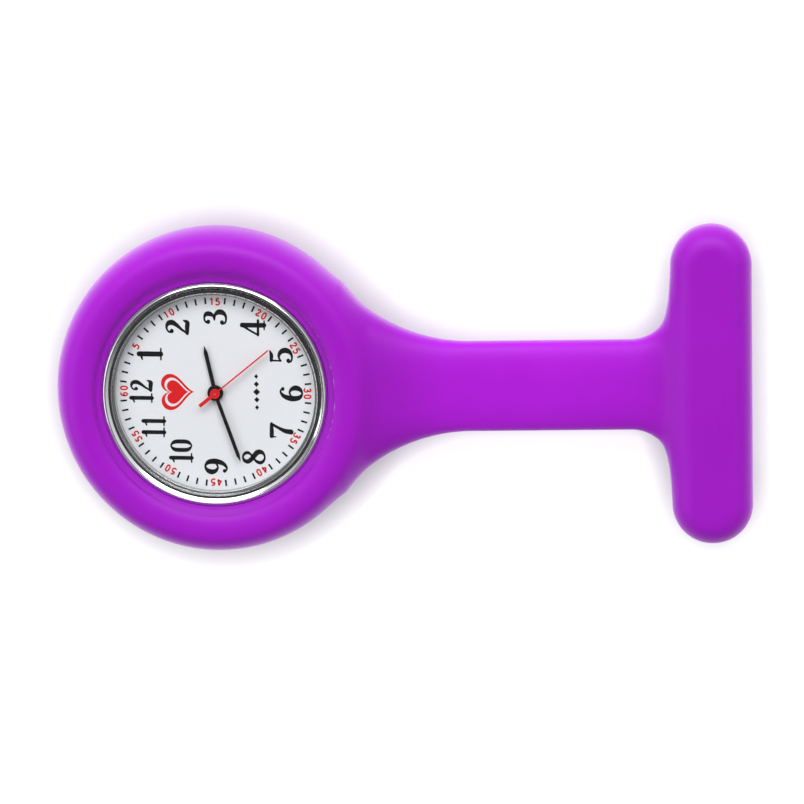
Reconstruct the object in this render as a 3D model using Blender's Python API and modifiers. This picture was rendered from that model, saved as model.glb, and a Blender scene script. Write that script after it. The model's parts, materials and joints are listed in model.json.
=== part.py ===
"""A fob watch: a quartz watch head held in a soft silicone ring, strap and bar, with a brooch pin.

The watch lies on its back. The strap runs along +X from the watch to the bar, +Y is the three
o'clock side and +Z comes out of the dial. The origin is the middle of the underside. Every size
below is in millimetres, and each mesh is scaled to metres when its piece is finished.
"""

import math

import bmesh
import bpy
from mathutils import Matrix

MM = 0.001
TAU = 2 * math.pi

# Silicone holder: a ring round the head, a strap and a bar across its end
RING_HALF_X = 20.0
RING_HALF_Y = 20.4
RING_HEIGHT = 10.4
RING_CREST_R = 16.9
LIP_R = 14.9
LIP_Z = 9.7
WATCH_X = -23.2
STRAP_HALF_WIDTH = 5.65
STRAP_HALF_HEIGHT = 2.0
STRAP_Z = 5.4
FLARE_R = 21.0
FLARE_START = 15.8
FLARE_END = 31.5
BAR_FROM_WATCH = 61.4
BAR_X = WATCH_X + BAR_FROM_WATCH
BAR_HALF_WIDTH = 5.0
BAR_HALF_LENGTH = 20.0
BAR_EDGE_R = 2.4
BAR_BOTTOM = 2.4
BAR_TOP = 9.2
FILLET_R = 5.0

# Watch case, crystal and back
FIT_GAP = 0.05
CASE_R = 16.2
CASE_BOTTOM = 2.3
CASE_SHOULDER_Z = 8.9
BEZEL_R = 14.1
BEZEL_TOP = 9.7
CRYSTAL_R = 12.85
CRYSTAL_BOTTOM = 8.75
CRYSTAL_TOP = 9.85
SEAT_R = 12.4
CAVITY_R = 13.2
BACK_OPENING_R = 13.0
BACK_FLANGE_R = 14.1
BACK_FLANGE_TOP = 2.85
BACK_BOSS_R = 12.7
BACK_FACE_Z = 1.6

# Dial and hands
DIAL_R = 13.1
DIAL_BOTTOM = 7.15
DIAL_TOP = 7.45
DIAL_HOLE_R = 0.8
DIAL_FEET = ((-4.4, -4.6), (4.6, 4.6))
HOUR_ANGLE = 78.5
MINUTE_ANGLE = 251.5
SECOND_ANGLE = 141.5

# Movement: a centre-seconds quartz calibre, its plate 17.8 by 15.3 mm
PLATE_R = 8.9
PLATE_HALF_Y = 7.65
PLATE_BOTTOM = 4.3
PLATE_TOP = 7.05
PLATE_WEB = 5.95
PLATE_FLOOR = 6.4
BRIDGE_BOTTOM = 3.95
BRIDGE_TOP = 4.25
BATTERY_AT = (5.26, -1.61)
BATTERY_R = 3.38
BATTERY_BOTTOM = 4.0
BATTERY_TOP = 6.6
COIL_X = -6.6
COIL_Z = 5.2
COIL_R = 0.95
COIL_HALF_LENGTH = 4.0
CORE_HALF_LENGTH = 5.2
COIL_SCREW_Y = 4.72
BRIDGE_SCREWS = ((2.9, 3.3), (-1.9, 3.7), (-0.6, -3.9))
CLAMP_SCREW = (4.2, -6.05)
STEM_Z = 5.6
STEM_R = 0.36
CROWN_R = 1.7
CROWN_INNER_Y = 16.35
CROWN_OUTER_Y = 17.95
LEVER_Z = (6.62, 6.8)
SETTING_PIVOT = (2.3, 7.17)
YOKE_PIVOT = (-2.3, 5.425)

# Gear train: modules and the angle at which each axis stands from the one before it
ADDENDUM = 0.85
DEDENDUM = 1.15
TRAIN_MODULE = 0.078
ROTOR_MODULE = 0.08
THIRD_MODULE = 0.064
HANDS_MODULE = 0.1
INTERMEDIATE_ANGLE = math.radians(170)
ROTOR_ANGLE = math.radians(190)
THIRD_ANGLE = math.radians(75)
MINUTE_WHEEL_ANGLE = math.radians(60)
SETTING_WHEEL_ANGLE = math.radians(105)
PINION_TEETH = 8
ROTOR_TEETH = 6
INTERMEDIATE_TEETH = 30
SECONDS_TEETH = 48
THIRD_TEETH = 60
CENTRE_TEETH = 64
CANNON_TEETH = 10
MINUTE_TEETH = 30
HOUR_TEETH = 32
SETTING_TEETH = 12

# Brooch pin, set in the back of the bar
PLATE_HALF_LENGTH = 16.6
BROOCH_HALF_WIDTH = 2.6
BROOCH_Z = (3.06, 3.66)
WINDOW_HALF_LENGTH = 16.0
WINDOW_HALF_WIDTH = 2.0
PIN_Z = 1.4
HINGE_Y = -13.5
CATCH_Y = 13.5
PIN_R = 0.42
EAR_R = 1.4


def polar(radius, angle):
    return radius * math.cos(angle), radius * math.sin(angle)


def step_from(start, distance, angle):
    dx, dy = polar(distance, angle)
    return start[0] + dx, start[1] + dy


TRAIN_DISTANCE = (PINION_TEETH + SECONDS_TEETH) / 2 * TRAIN_MODULE
ROTOR_DISTANCE = (ROTOR_TEETH + INTERMEDIATE_TEETH) / 2 * ROTOR_MODULE
THIRD_DISTANCE = (PINION_TEETH + THIRD_TEETH) / 2 * THIRD_MODULE
CENTRE_MODULE = 2 * THIRD_DISTANCE / (PINION_TEETH + CENTRE_TEETH)
HANDS_DISTANCE = (CANNON_TEETH + MINUTE_TEETH) / 2 * HANDS_MODULE
SETTING_DISTANCE = (SETTING_TEETH + MINUTE_TEETH) / 2 * HANDS_MODULE
INTERMEDIATE_AT = polar(TRAIN_DISTANCE, INTERMEDIATE_ANGLE)
ROTOR_AT = step_from(INTERMEDIATE_AT, ROTOR_DISTANCE, ROTOR_ANGLE)
THIRD_AT = polar(THIRD_DISTANCE, THIRD_ANGLE)
MINUTE_AT = polar(HANDS_DISTANCE, MINUTE_WHEEL_ANGLE)
SETTING_AT = step_from(MINUTE_AT, SETTING_DISTANCE, SETTING_WHEEL_ANGLE)


# Materials: name, linear colour, roughness, metallic
FINISHES = {
    "purple_silicone": ((0.36, 0.016, 0.58), 0.5, 0.0),
    "polished_steel": ((0.72, 0.73, 0.74), 0.12, 1.0),
    "brushed_steel": ((0.55, 0.56, 0.57), 0.35, 1.0),
    "clear_glass": ((0.9, 0.95, 0.95), 0.03, 0.0),
    "black_rubber": ((0.02, 0.02, 0.02), 0.6, 0.0),
    "white_dial": ((0.82, 0.83, 0.86), 0.4, 0.0),
    "grey_plastic": ((0.45, 0.46, 0.5), 0.4, 0.0),
    "black_paint": ((0.01, 0.01, 0.01), 0.3, 0.3),
    "red_paint": ((0.6, 0.01, 0.015), 0.35, 0.2),
    "brass": ((0.75, 0.52, 0.2), 0.3, 1.0),
    "white_plastic": ((0.75, 0.75, 0.72), 0.45, 0.0),
    "green_board": ((0.03, 0.2, 0.08), 0.45, 0.0),
    "black_plastic": ((0.02, 0.02, 0.022), 0.4, 0.0),
    "copper_wire": ((0.7, 0.27, 0.12), 0.3, 1.0),
    "battery_steel": ((0.6, 0.6, 0.58), 0.25, 1.0),
}


def clear_scene():
    for obj in list(bpy.data.objects):
        bpy.data.objects.remove(obj, do_unlink=True)


def new_collection(name):
    collection = bpy.data.collections.new(name)
    bpy.context.scene.collection.children.link(collection)
    return collection


def make_material(name):
    colour, roughness, metallic = FINISHES[name]
    material = bpy.data.materials.new(name)
    material.use_nodes = True
    shader = material.node_tree.nodes["Principled BSDF"]
    shader.inputs["Base Color"].default_value = (*colour, 1.0)
    shader.inputs["Roughness"].default_value = roughness
    shader.inputs["Metallic"].default_value = metallic
    return material


def baked(obj):
    """Replaces the object by a mesh object that holds its evaluated mesh, welded."""
    bpy.context.view_layer.update()
    graph = bpy.context.evaluated_depsgraph_get()
    mesh = bpy.data.meshes.new_from_object(obj.evaluated_get(graph))
    mesh.transform(obj.matrix_world)
    bpy.data.objects.remove(obj, do_unlink=True)
    result = bpy.data.objects.new("solid", mesh)
    workshop.objects.link(result)
    return result


def weld(obj, distance):
    bm = bmesh.new()
    bm.from_mesh(obj.data)
    bmesh.ops.remove_doubles(bm, verts=bm.verts, dist=distance)
    bm.to_mesh(obj.data)
    bm.free()


def from_bmesh(bm):
    mesh = bpy.data.meshes.new("solid")
    bm.to_mesh(mesh)
    bm.free()
    obj = bpy.data.objects.new("solid", mesh)
    workshop.objects.link(obj)
    return obj


def turned(profile, steps=36, ring=False):
    """A solid turned about Z from (radius, height) points that run down its outer side."""
    count = len(profile)
    edges = [(i, (i + 1) % count) for i in range(count if ring else count - 1)]
    mesh = bpy.data.meshes.new("profile")
    mesh.from_pydata([(r, 0.0, z) for r, z in profile], edges, [])
    obj = bpy.data.objects.new("profile", mesh)
    workshop.objects.link(obj)
    screw = obj.modifiers.new("turn", "SCREW")
    screw.steps = steps
    screw.render_steps = steps
    screw.use_merge_vertices = True
    screw.merge_threshold = 0.0001
    return baked(obj)


def washer(inner, outer, bottom, top, steps=36):
    profile = [(inner, top), (outer, top), (outer, bottom), (inner, bottom)]
    return turned(profile, steps, ring=True)


def disc(radius, bottom, top, steps=20, at=(0.0, 0.0)):
    """A plain upright cylinder."""
    bm = bmesh.new()
    middle = Matrix.Translation((at[0], at[1], (bottom + top) / 2))
    bmesh.ops.create_cone(
        bm, cap_ends=True, segments=steps, radius1=radius, radius2=radius, depth=top - bottom, matrix=middle
    )
    return from_bmesh(bm)


def block(low, high):
    """A box between two corners."""
    bm = bmesh.new()
    size = Matrix.Diagonal([high[i] - low[i] for i in range(3)] + [1.0])
    middle = Matrix.Translation([(high[i] + low[i]) / 2 for i in range(3)])
    bmesh.ops.create_cube(bm, size=1.0, matrix=middle @ size)
    return from_bmesh(bm)


def plate(outlines, bottom, top, edge=0.0):
    """A flat piece from outlines, the first its rim and the others its holes; edge rounds its rim."""
    curve = bpy.data.curves.new("outline", "CURVE")
    curve.dimensions = "2D"
    curve.fill_mode = "BOTH"
    curve.extrude = (top - bottom) / 2 - edge
    curve.bevel_depth = edge
    curve.bevel_resolution = 2
    for outline in outlines:
        spline = curve.splines.new("POLY")
        spline.points.add(len(outline) - 1)
        for point, (x, y) in zip(spline.points, outline):
            point.co = (x, y, 0.0, 1.0)
        spline.use_cyclic_u = True
    obj = bpy.data.objects.new("outline", curve)
    workshop.objects.link(obj)
    obj.location.z = (bottom + top) / 2
    solid = baked(obj)
    weld(solid, 0.0005)
    return solid


def arc(centre, radius, start, end, steps):
    """Points along an arc, angles in degrees, both ends included."""
    angles = [math.radians(start + (end - start) * i / steps) for i in range(steps + 1)]
    return [step_from(centre, radius, a) for a in angles]


def circle(centre, radius, steps=24):
    return arc(centre, radius, 0, 360, steps)[:-1]


def combine(body, tools, operation):
    """Joins or cuts the body with all the tools at once, and removes the tools."""
    group = bpy.data.collections.new("tools")
    for tool in tools:
        group.objects.link(tool)
    modifier = body.modifiers.new("combine", "BOOLEAN")
    modifier.operation = operation
    modifier.solver = "EXACT"
    modifier.operand_type = "COLLECTION"
    modifier.collection = group
    body = baked(body)
    for tool in tools:
        bpy.data.objects.remove(tool, do_unlink=True)
    bpy.data.collections.remove(group)
    return body


def fuse(body, *tools):
    return combine(body, tools, "UNION")


def cut(body, *tools):
    return combine(body, tools, "DIFFERENCE")


def along_y(obj):
    """Turns a piece made about Z so that its axis runs along +Y."""
    obj.data.transform(Matrix.Rotation(-math.pi / 2, 4, "X"))
    return obj


def along_x(obj):
    obj.data.transform(Matrix.Rotation(math.pi / 2, 4, "Y"))
    return obj


def moved(obj, x, y, z):
    obj.data.transform(Matrix.Translation((x, y, z)))
    return obj


def finished(obj, name, finish, at=(WATCH_X, 0.0, 0.0)):
    """Names a piece, gives it its material and sets its origin at its axis or the watch's centre."""
    weld(obj, 0.002)
    workshop.objects.unlink(obj)
    parts.objects.link(obj)
    obj.name = name
    obj.data.name = name
    obj.data.transform(Matrix.Scale(MM, 4))
    obj.location = [value * MM for value in at]
    obj.data.materials.clear()
    obj.data.materials.append(materials[finish])
    obj.data.shade_smooth()
    obj.data.set_sharp_from_angle(angle=math.radians(35))
    return obj


def on_watch(at, z=0.0):
    return WATCH_X + at[0], at[1], z


def flare_half_width(x):
    """Half the strap's width: it flares into the ring on one arc and into the bar on another."""
    bar_side = BAR_FROM_WATCH - BAR_HALF_WIDTH
    fillet_start = bar_side - FILLET_R
    if x < FLARE_END:
        x = max(x, FLARE_START)
        return STRAP_HALF_WIDTH + FLARE_R - math.sqrt(FLARE_R**2 - (FLARE_END - x) ** 2)
    if x > fillet_start:
        reach = min(x - fillet_start, FILLET_R * 0.995)
        return STRAP_HALF_WIDTH + FILLET_R - math.sqrt(FILLET_R**2 - reach**2)
    return STRAP_HALF_WIDTH


def ease(t):
    t = min(max(t, 0.0), 1.0)
    return t * t * (3 - 2 * t)


def strap_section(x, sides=16):
    """A rounded section across the strap, deeper where it meets the ring and the bar."""
    ring_extra = 2.5 * (1 - ease((x - 13.0) / (FLARE_END - 13.0)))
    bar_extra = 0.8 * ease((x - 51.0) / 7.0)
    half_height = STRAP_HALF_HEIGHT + ring_extra + bar_extra
    half_width = flare_half_width(x)
    points = []
    for i in range(sides):
        c, s = polar(1.0, TAU * (i + 0.5) / sides)
        y = half_width * math.copysign(abs(c) ** 0.65, c)
        z = STRAP_Z + half_height * math.copysign(abs(s) ** 0.65, s)
        points.append((x, y, z))
    return points


def loft(sections):
    """A closed solid through sections that all have the same number of points."""
    bm = bmesh.new()
    rings = [[bm.verts.new(p) for p in section] for section in sections]
    count = len(rings[0])
    for near, far in zip(rings, rings[1:]):
        for i in range(count):
            j = (i + 1) % count
            bm.faces.new((near[i], near[j], far[j], far[i]))
    bm.faces.new(rings[0])
    bm.faces.new(rings[-1])
    bmesh.ops.recalc_face_normals(bm, faces=bm.faces)
    return from_bmesh(bm)


def ring_profile(steps=5):
    """The ring's outer side from the lip over the crest, down to the flat back."""
    middle = RING_HEIGHT / 2
    crest = [(0.0, LIP_Z), (LIP_R, LIP_Z)]
    inner = arc((0, 0), 1.0, 180, 90, 3)[1:]
    crest += [(RING_CREST_R + (RING_CREST_R - LIP_R) * c, LIP_Z + (RING_HEIGHT - LIP_Z) * s) for c, s in inner]
    reach = RING_HALF_Y - RING_CREST_R
    for c, s in arc((0, 0), 1.0, 90, -90, 2 * steps)[1:]:
        r = RING_CREST_R + reach * abs(c) ** 0.85
        crest.append((r, middle + middle * math.copysign(abs(s) ** 0.95, s)))
    crest[-1] = (RING_CREST_R, 0.0)
    return crest + [(0.0, 0.0)]


def stadium(half_length, radius, steps=8):
    """A bar's outline along Y with full-round ends."""
    straight = half_length - radius
    return arc((0, straight), radius, 0, 180, steps) + arc((0, -straight), radius, 180, 360, steps)


def make_holder():
    ring = turned(ring_profile(), 40)
    ring.data.transform(Matrix.Scale(RING_HALF_X / RING_HALF_Y, 4, (1, 0, 0)))
    stations = [13, FLARE_START, 17.5, 19.2, 21, 23.5, 27, FLARE_END, 51.4]
    stations += [53.4, 55, 56.1, BAR_FROM_WATCH - BAR_HALF_WIDTH, 58.0]
    strap = loft([strap_section(x) for x in stations])
    core = stadium(BAR_HALF_LENGTH - BAR_EDGE_R, BAR_HALF_WIDTH - BAR_EDGE_R)
    bar = moved(plate([core], BAR_BOTTOM, BAR_TOP, BAR_EDGE_R), BAR_FROM_WATCH, 0, 0)
    holder = fuse(ring, strap, bar)
    pocket = [
        (0, RING_HEIGHT + 1),
        (BEZEL_R + FIT_GAP, RING_HEIGHT + 1),
        (BEZEL_R + FIT_GAP, CASE_SHOULDER_Z + FIT_GAP),
        (CASE_R + FIT_GAP, CASE_SHOULDER_Z + FIT_GAP),
        (CASE_R + FIT_GAP, CASE_BOTTOM - FIT_GAP),
        (BACK_OPENING_R, CASE_BOTTOM - FIT_GAP),
        (BACK_OPENING_R, -1),
        (0, -1),
    ]
    crown_room = moved(along_y(disc(2.0, 15.8, 19.1)), 0, 0, STEM_Z)
    slot = stadium(PLATE_HALF_LENGTH + 0.1, BROOCH_HALF_WIDTH + 0.1)
    window = stadium(WINDOW_HALF_LENGTH, WINDOW_HALF_WIDTH)
    slot = moved(plate([slot], BROOCH_Z[0] - 0.06, BROOCH_Z[1] + 0.1), BAR_FROM_WATCH, 0, 0)
    window = moved(plate([window], BAR_BOTTOM - 1, BROOCH_Z[0]), BAR_FROM_WATCH, 0, 0)
    holder = cut(holder, turned(pocket, 40), crown_room, slot, window)
    return finished(holder, "silicone_holder", "purple_silicone")


def make_brooch():
    """A flat bar with two ears, a needle on a rivet between them, and a hook with a turning guard."""
    hinge = (BAR_X, HINGE_Y, PIN_Z)
    catch = (BAR_X, CATCH_Y, PIN_Z)
    bar = plate([stadium(PLATE_HALF_LENGTH, BROOCH_HALF_WIDTH, 4)], *BROOCH_Z)
    for side in (-1, 1):
        inner, outer = 0.95, 1.35
        reach = (BROOCH_Z[0] + BROOCH_Z[1]) / 2 - PIN_Z
        outline = arc((0, 0), EAR_R, 180, 360, 8) + [(EAR_R, reach), (-EAR_R, reach)]
        ear = plate([outline, circle((0, 0), 0.36, 12)], inner, outer)
        ear.data.transform(Matrix.Rotation(math.pi / 2, 4, "X"))
        ear.data.transform(Matrix.Rotation(math.pi / 2, 4, "Z"))
        if side < 0:
            ear = moved(ear, -(inner + outer), 0, 0)
        bar = fuse(bar, moved(ear, 0, HINGE_Y, PIN_Z))
    finished(bar, "brooch_plate", "polished_steel", (BAR_X, 0, 0))

    rivet = along_x(disc(0.3, -1.6, 1.6, 10))
    heads = [along_x(disc(0.6, low, low + 0.2, 12)) for low in (-1.6, 1.4)]
    finished(fuse(rivet, *heads), "brooch_rivet", "polished_steel", hinge)

    length = CATCH_Y - HINGE_Y + 1.6
    wire = [(0, length), (PIN_R * 0.35, length - 1.2), (PIN_R, length - 3.2), (PIN_R, 0.6), (0, 0.6)]
    eye = along_x(washer(0.36, 0.85, -0.7, 0.7, 20))
    finished(fuse(eye, along_y(turned(wire, 12))), "brooch_needle", "polished_steel", hinge)

    gap = 22
    outer = arc((0, 0), 1.5, -90 + gap, 270 - gap, 20)
    inner = arc((0, 0), 0.98, 270 - gap * 1.55, -90 + gap * 1.55, 16)
    hook = plate([outer + inner], -0.9, 0.9)
    hook = along_y(hook)
    hook.data.transform(Matrix.Rotation(math.pi, 4, "Y"))
    post = block((-0.8, -0.9, 1.25), (0.8, 0.9, BROOCH_Z[0] - PIN_Z - 0.03))
    finished(fuse(hook, post), "brooch_catch", "polished_steel", catch)

    outer = arc((0, 0), 0.92, -90 + 42, 270 - 42, 16)
    inner = arc((0, 0), 0.62, 270 - 50, -90 + 50, 14)
    guard = along_y(plate([outer + inner], -1.35, 1.35))
    guard.data.transform(Matrix.Rotation(math.pi, 4, "Y"))
    tab = block((-0.28, 0.96, 0.75), (0.28, 1.35, 1.45))
    finished(fuse(guard, tab), "brooch_guard", "polished_steel", catch)


def make_case():
    body = [
        (SEAT_R, CRYSTAL_BOTTOM - 0.05),
        (CRYSTAL_R + 0.2, CRYSTAL_BOTTOM - 0.05),
        (CRYSTAL_R + 0.2, BEZEL_TOP),
        (BEZEL_R - 0.3, BEZEL_TOP),
        (BEZEL_R, BEZEL_TOP - 0.3),
        (BEZEL_R, CASE_SHOULDER_Z),
        (CASE_R, CASE_SHOULDER_Z - 0.2),
        (CASE_R, CASE_BOTTOM),
        (BACK_FLANGE_R + FIT_GAP, CASE_BOTTOM),
        (BACK_FLANGE_R + FIT_GAP, 3.15),
        (CAVITY_R, 3.15),
        (CAVITY_R, CRYSTAL_BOTTOM - 0.25),
        (SEAT_R, CRYSTAL_BOTTOM - 0.25),
    ]
    case = cut(turned(body, 40, ring=True), moved(along_y(disc(0.95, 12.5, 17.5, 16)), 0, 0, STEM_Z))
    finished(case, "watch_case", "polished_steel")

    dome = [(0, CRYSTAL_TOP), (6.5, CRYSTAL_TOP - 0.05), (11.8, CRYSTAL_TOP - 0.16)]
    dome += [(CRYSTAL_R, CRYSTAL_TOP - 0.35), (CRYSTAL_R, CRYSTAL_BOTTOM), (0, CRYSTAL_BOTTOM)]
    finished(turned(dome), "crystal", "clear_glass")
    gasket = washer(CRYSTAL_R + 0.03, CRYSTAL_R + 0.16, CRYSTAL_BOTTOM, BEZEL_TOP - 0.3)
    finished(gasket, "crystal_gasket", "black_rubber")

    flange = washer(SEAT_R, CAVITY_R - 0.1, DIAL_TOP + 0.03, CRYSTAL_BOTTOM - 0.3)
    finished(flange, "dial_flange", "polished_steel")

    lid = [
        (0, BACK_FLANGE_TOP - 0.55),
        (BACK_BOSS_R - 0.6, BACK_FLANGE_TOP - 0.55),
        (BACK_BOSS_R - 0.3, BACK_FLANGE_TOP),
        (BACK_FLANGE_R, BACK_FLANGE_TOP),
        (BACK_FLANGE_R, CASE_BOTTOM + FIT_GAP),
        (BACK_BOSS_R, CASE_BOTTOM + FIT_GAP),
        (BACK_BOSS_R, BACK_FACE_Z + 0.25),
        (BACK_BOSS_R - 0.25, BACK_FACE_Z),
        (0, BACK_FACE_Z),
    ]
    finished(turned(lid), "case_back", "brushed_steel")
    seal = washer(CAVITY_R + 0.25, BACK_FLANGE_R - 0.05, BACK_FLANGE_TOP + 0.02, 3.12)
    finished(seal, "case_back_seal", "black_rubber")


def movement_outline(grow=0.0):
    """A circle with two flat sides, at y = +half and y = -half."""
    radius, half = PLATE_R + grow, PLATE_HALF_Y + grow
    corner = math.degrees(math.asin(half / radius))
    right = arc((0, 0), radius, -corner, corner, 12)
    return right + arc((0, 0), radius, 180 - corner, 180 + corner, 12)


def make_movement_ring():
    rim = plate([circle((0, 0), DIAL_R, 36), movement_outline(0.08)], 3.2, 7.0)
    slot = block((-0.6, 6.0, STEM_Z - 0.6), (0.6, 14.0, STEM_Z + 0.6))
    lever_room = block((-0.9, 7.0, STEM_Z + 0.5), (2.0, 8.3, 7.1))
    finished(cut(rim, slot, lever_room), "movement_ring", "white_plastic")


def gear_outline(teeth, module, tooth_at, in_gap=False):
    """Pointed teeth; one tooth, or one gap, is centred on the angle tooth_at."""
    pitch = TAU / teeth
    pitch_r = teeth * module / 2
    tip, root = pitch_r + ADDENDUM * module, pitch_r - DEDENDUM * module
    start = tooth_at + (pitch / 2 if in_gap else 0.0)
    points = []
    for tooth in range(teeth):
        points.append(polar(tip, start + tooth * pitch))
        points.append(polar(root, start + (tooth + 0.5) * pitch))
    return points


def gear(teeth, module, bottom, top, tooth_at, in_gap=False, bore=0.0):
    outlines = [gear_outline(teeth, module, tooth_at, in_gap)]
    if bore:
        outlines.append(circle((0, 0), bore, 12))
    return plate(outlines, bottom, top)


def make_train():
    """Rotor, intermediate, seconds, third and centre wheels, from the motor to the minute hand."""
    magnet = disc(0.75, 5.36, 5.8, 16)
    leaves = gear(ROTOR_TEETH, ROTOR_MODULE, 4.66, 4.92, ROTOR_ANGLE + math.pi)
    rotor = fuse(magnet, disc(0.12, 4.1, 6.1, 8), leaves)
    finished(rotor, "rotor", "brushed_steel", on_watch(ROTOR_AT))

    wheel = gear(INTERMEDIATE_TEETH, ROTOR_MODULE, 4.73, 4.84, ROTOR_ANGLE, True)
    leaves = gear(PINION_TEETH, TRAIN_MODULE, 4.38, 4.62, INTERMEDIATE_ANGLE + math.pi)
    staff = disc(0.12, 4.1, 6.1, 8)
    finished(fuse(staff, wheel, leaves), "intermediate_wheel", "brass", on_watch(INTERMEDIATE_AT))

    wheel = gear(SECONDS_TEETH, TRAIN_MODULE, 4.42, 4.56, INTERMEDIATE_ANGLE, True)
    leaves = gear(PINION_TEETH, THIRD_MODULE, 4.94, 5.18, THIRD_ANGLE)
    staff = disc(0.12, 4.1, 8.5, 8)
    finished(fuse(staff, wheel, leaves), "seconds_wheel", "brass")

    wheel = gear(THIRD_TEETH, THIRD_MODULE, 5.0, 5.11, THIRD_ANGLE + math.pi, True)
    leaves = gear(PINION_TEETH, CENTRE_MODULE, 5.24, 5.5, THIRD_ANGLE + math.pi)
    staff = disc(0.1, 4.1, 6.1, 8)
    finished(fuse(staff, wheel, leaves), "third_wheel", "brass", on_watch(THIRD_AT))

    wheel = gear(CENTRE_TEETH, CENTRE_MODULE, 5.31, 5.43, THIRD_ANGLE, True, 0.2)
    finished(fuse(washer(0.17, 0.26, 5.25, 7.4, 16), wheel), "centre_wheel", "brass")


def make_motion_work():
    """The wheels under the dial that take the hour hand from the minute hand, and the setting wheel."""
    leaves = gear(CANNON_TEETH, HANDS_MODULE, 6.43, 6.62, MINUTE_WHEEL_ANGLE, False, 0.31)
    finished(fuse(washer(0.29, 0.36, 6.45, 8.24, 16), leaves), "cannon_pinion", "brushed_steel")

    towards_centre = MINUTE_WHEEL_ANGLE + math.pi
    wheel = gear(MINUTE_TEETH, HANDS_MODULE, 6.45, 6.57, towards_centre, True, 0.2)
    leaves = gear(PINION_TEETH, HANDS_MODULE, 6.5, 6.86, towards_centre, False, 0.2)
    finished(fuse(leaves, wheel), "minute_wheel", "brass", on_watch(MINUTE_AT))

    wheel = gear(HOUR_TEETH, HANDS_MODULE, 6.67, 6.8, MINUTE_WHEEL_ANGLE, True, 0.5)
    finished(fuse(washer(0.42, 0.55, 6.65, 7.97, 16), wheel), "hour_wheel", "brass")

    towards_minute = SETTING_WHEEL_ANGLE + math.pi
    phase = (SETTING_WHEEL_ANGLE - towards_centre) / (TAU / MINUTE_TEETH) - 0.5
    turn = (phase - round(phase)) * TAU / SETTING_TEETH
    wheel = gear(SETTING_TEETH, HANDS_MODULE, 6.45, 6.57, towards_minute + turn, True, 0.2)
    finished(wheel, "setting_wheel", "brass", on_watch(SETTING_AT))
    finished(washer(0.62, 1.4, 6.9, 7.02, 20), "dial_washer", "brass")


def hand_outline(length, half_width, hub, tail, tail_half_width, point):
    """A hand along +X: a hub, a bar that narrows to its tip and, where it has one, a tail."""
    side = math.degrees(math.asin(half_width / hub))
    outline = [(length - point, -half_width), (length, 0.0), (length - point, half_width)]
    if not tail:
        return outline + arc((0, 0), hub, side, 360 - side, 16)
    back = math.degrees(math.asin(tail_half_width / hub))
    outline += arc((0, 0), hub, side, 180 - back, 8)
    outline += [(-tail, tail_half_width), (-tail, -tail_half_width)]
    return outline + arc((0, 0), hub, 180 + back, 360 - side, 8)


def make_dial_and_hands():
    plate_body = turned([(0, DIAL_TOP), (DIAL_R, DIAL_TOP), (DIAL_R, DIAL_BOTTOM), (0, DIAL_BOTTOM)])
    dial = cut(plate_body, disc(DIAL_HOLE_R, 7.0, 7.6))
    feet = [disc(0.35, 6.3, (DIAL_BOTTOM + DIAL_TOP) / 2, 12, foot) for foot in DIAL_FEET]
    finished(fuse(dial, *feet), "dial", "white_dial")

    hands = (
        ("hour_hand", "black_paint", HOUR_ANGLE, (6.1, 0.24, 1.0, 0, 0, 0.9), 0.58, 7.8, 7.92),
        ("minute_hand", "black_paint", MINUTE_ANGLE, (9.15, 0.22, 0.9, 0, 0, 0.9), 0.39, 8.08, 8.2),
        ("second_hand", "red_paint", SECOND_ANGLE, (8.8, 0.09, 0.62, 2.5, 0.22, 0.3), 0.15, 8.32, 8.47),
    )
    for name, finish, angle, shape, bore, bottom, top in hands:
        hand = plate([hand_outline(*shape), circle((0, 0), bore, 16)], bottom, top)
        hand.data.transform(Matrix.Rotation(math.pi - math.radians(angle), 4, "Z"))
        finished(hand, name, finish)


def stator_outline():
    """Two arms from the coil's ends that meet round the rotor."""
    x, y = ROTOR_AT
    upper = [(-7.1, 4.2), (-5.4, 4.2), (-4.75, y + 1.3), (-4.75, y - 1.3), (-5.4, -4.2), (-7.1, -4.2)]
    lower = [(-7.1, -5.2), (-5.6, -5.2), (x + 0.4, y - 1.6), (x + 1.15, y - 0.9)]
    return upper + lower + [(x + 1.15, y + 0.9), (x + 0.4, y + 1.6), (-5.6, 5.2), (-7.1, 5.2)]


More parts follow.
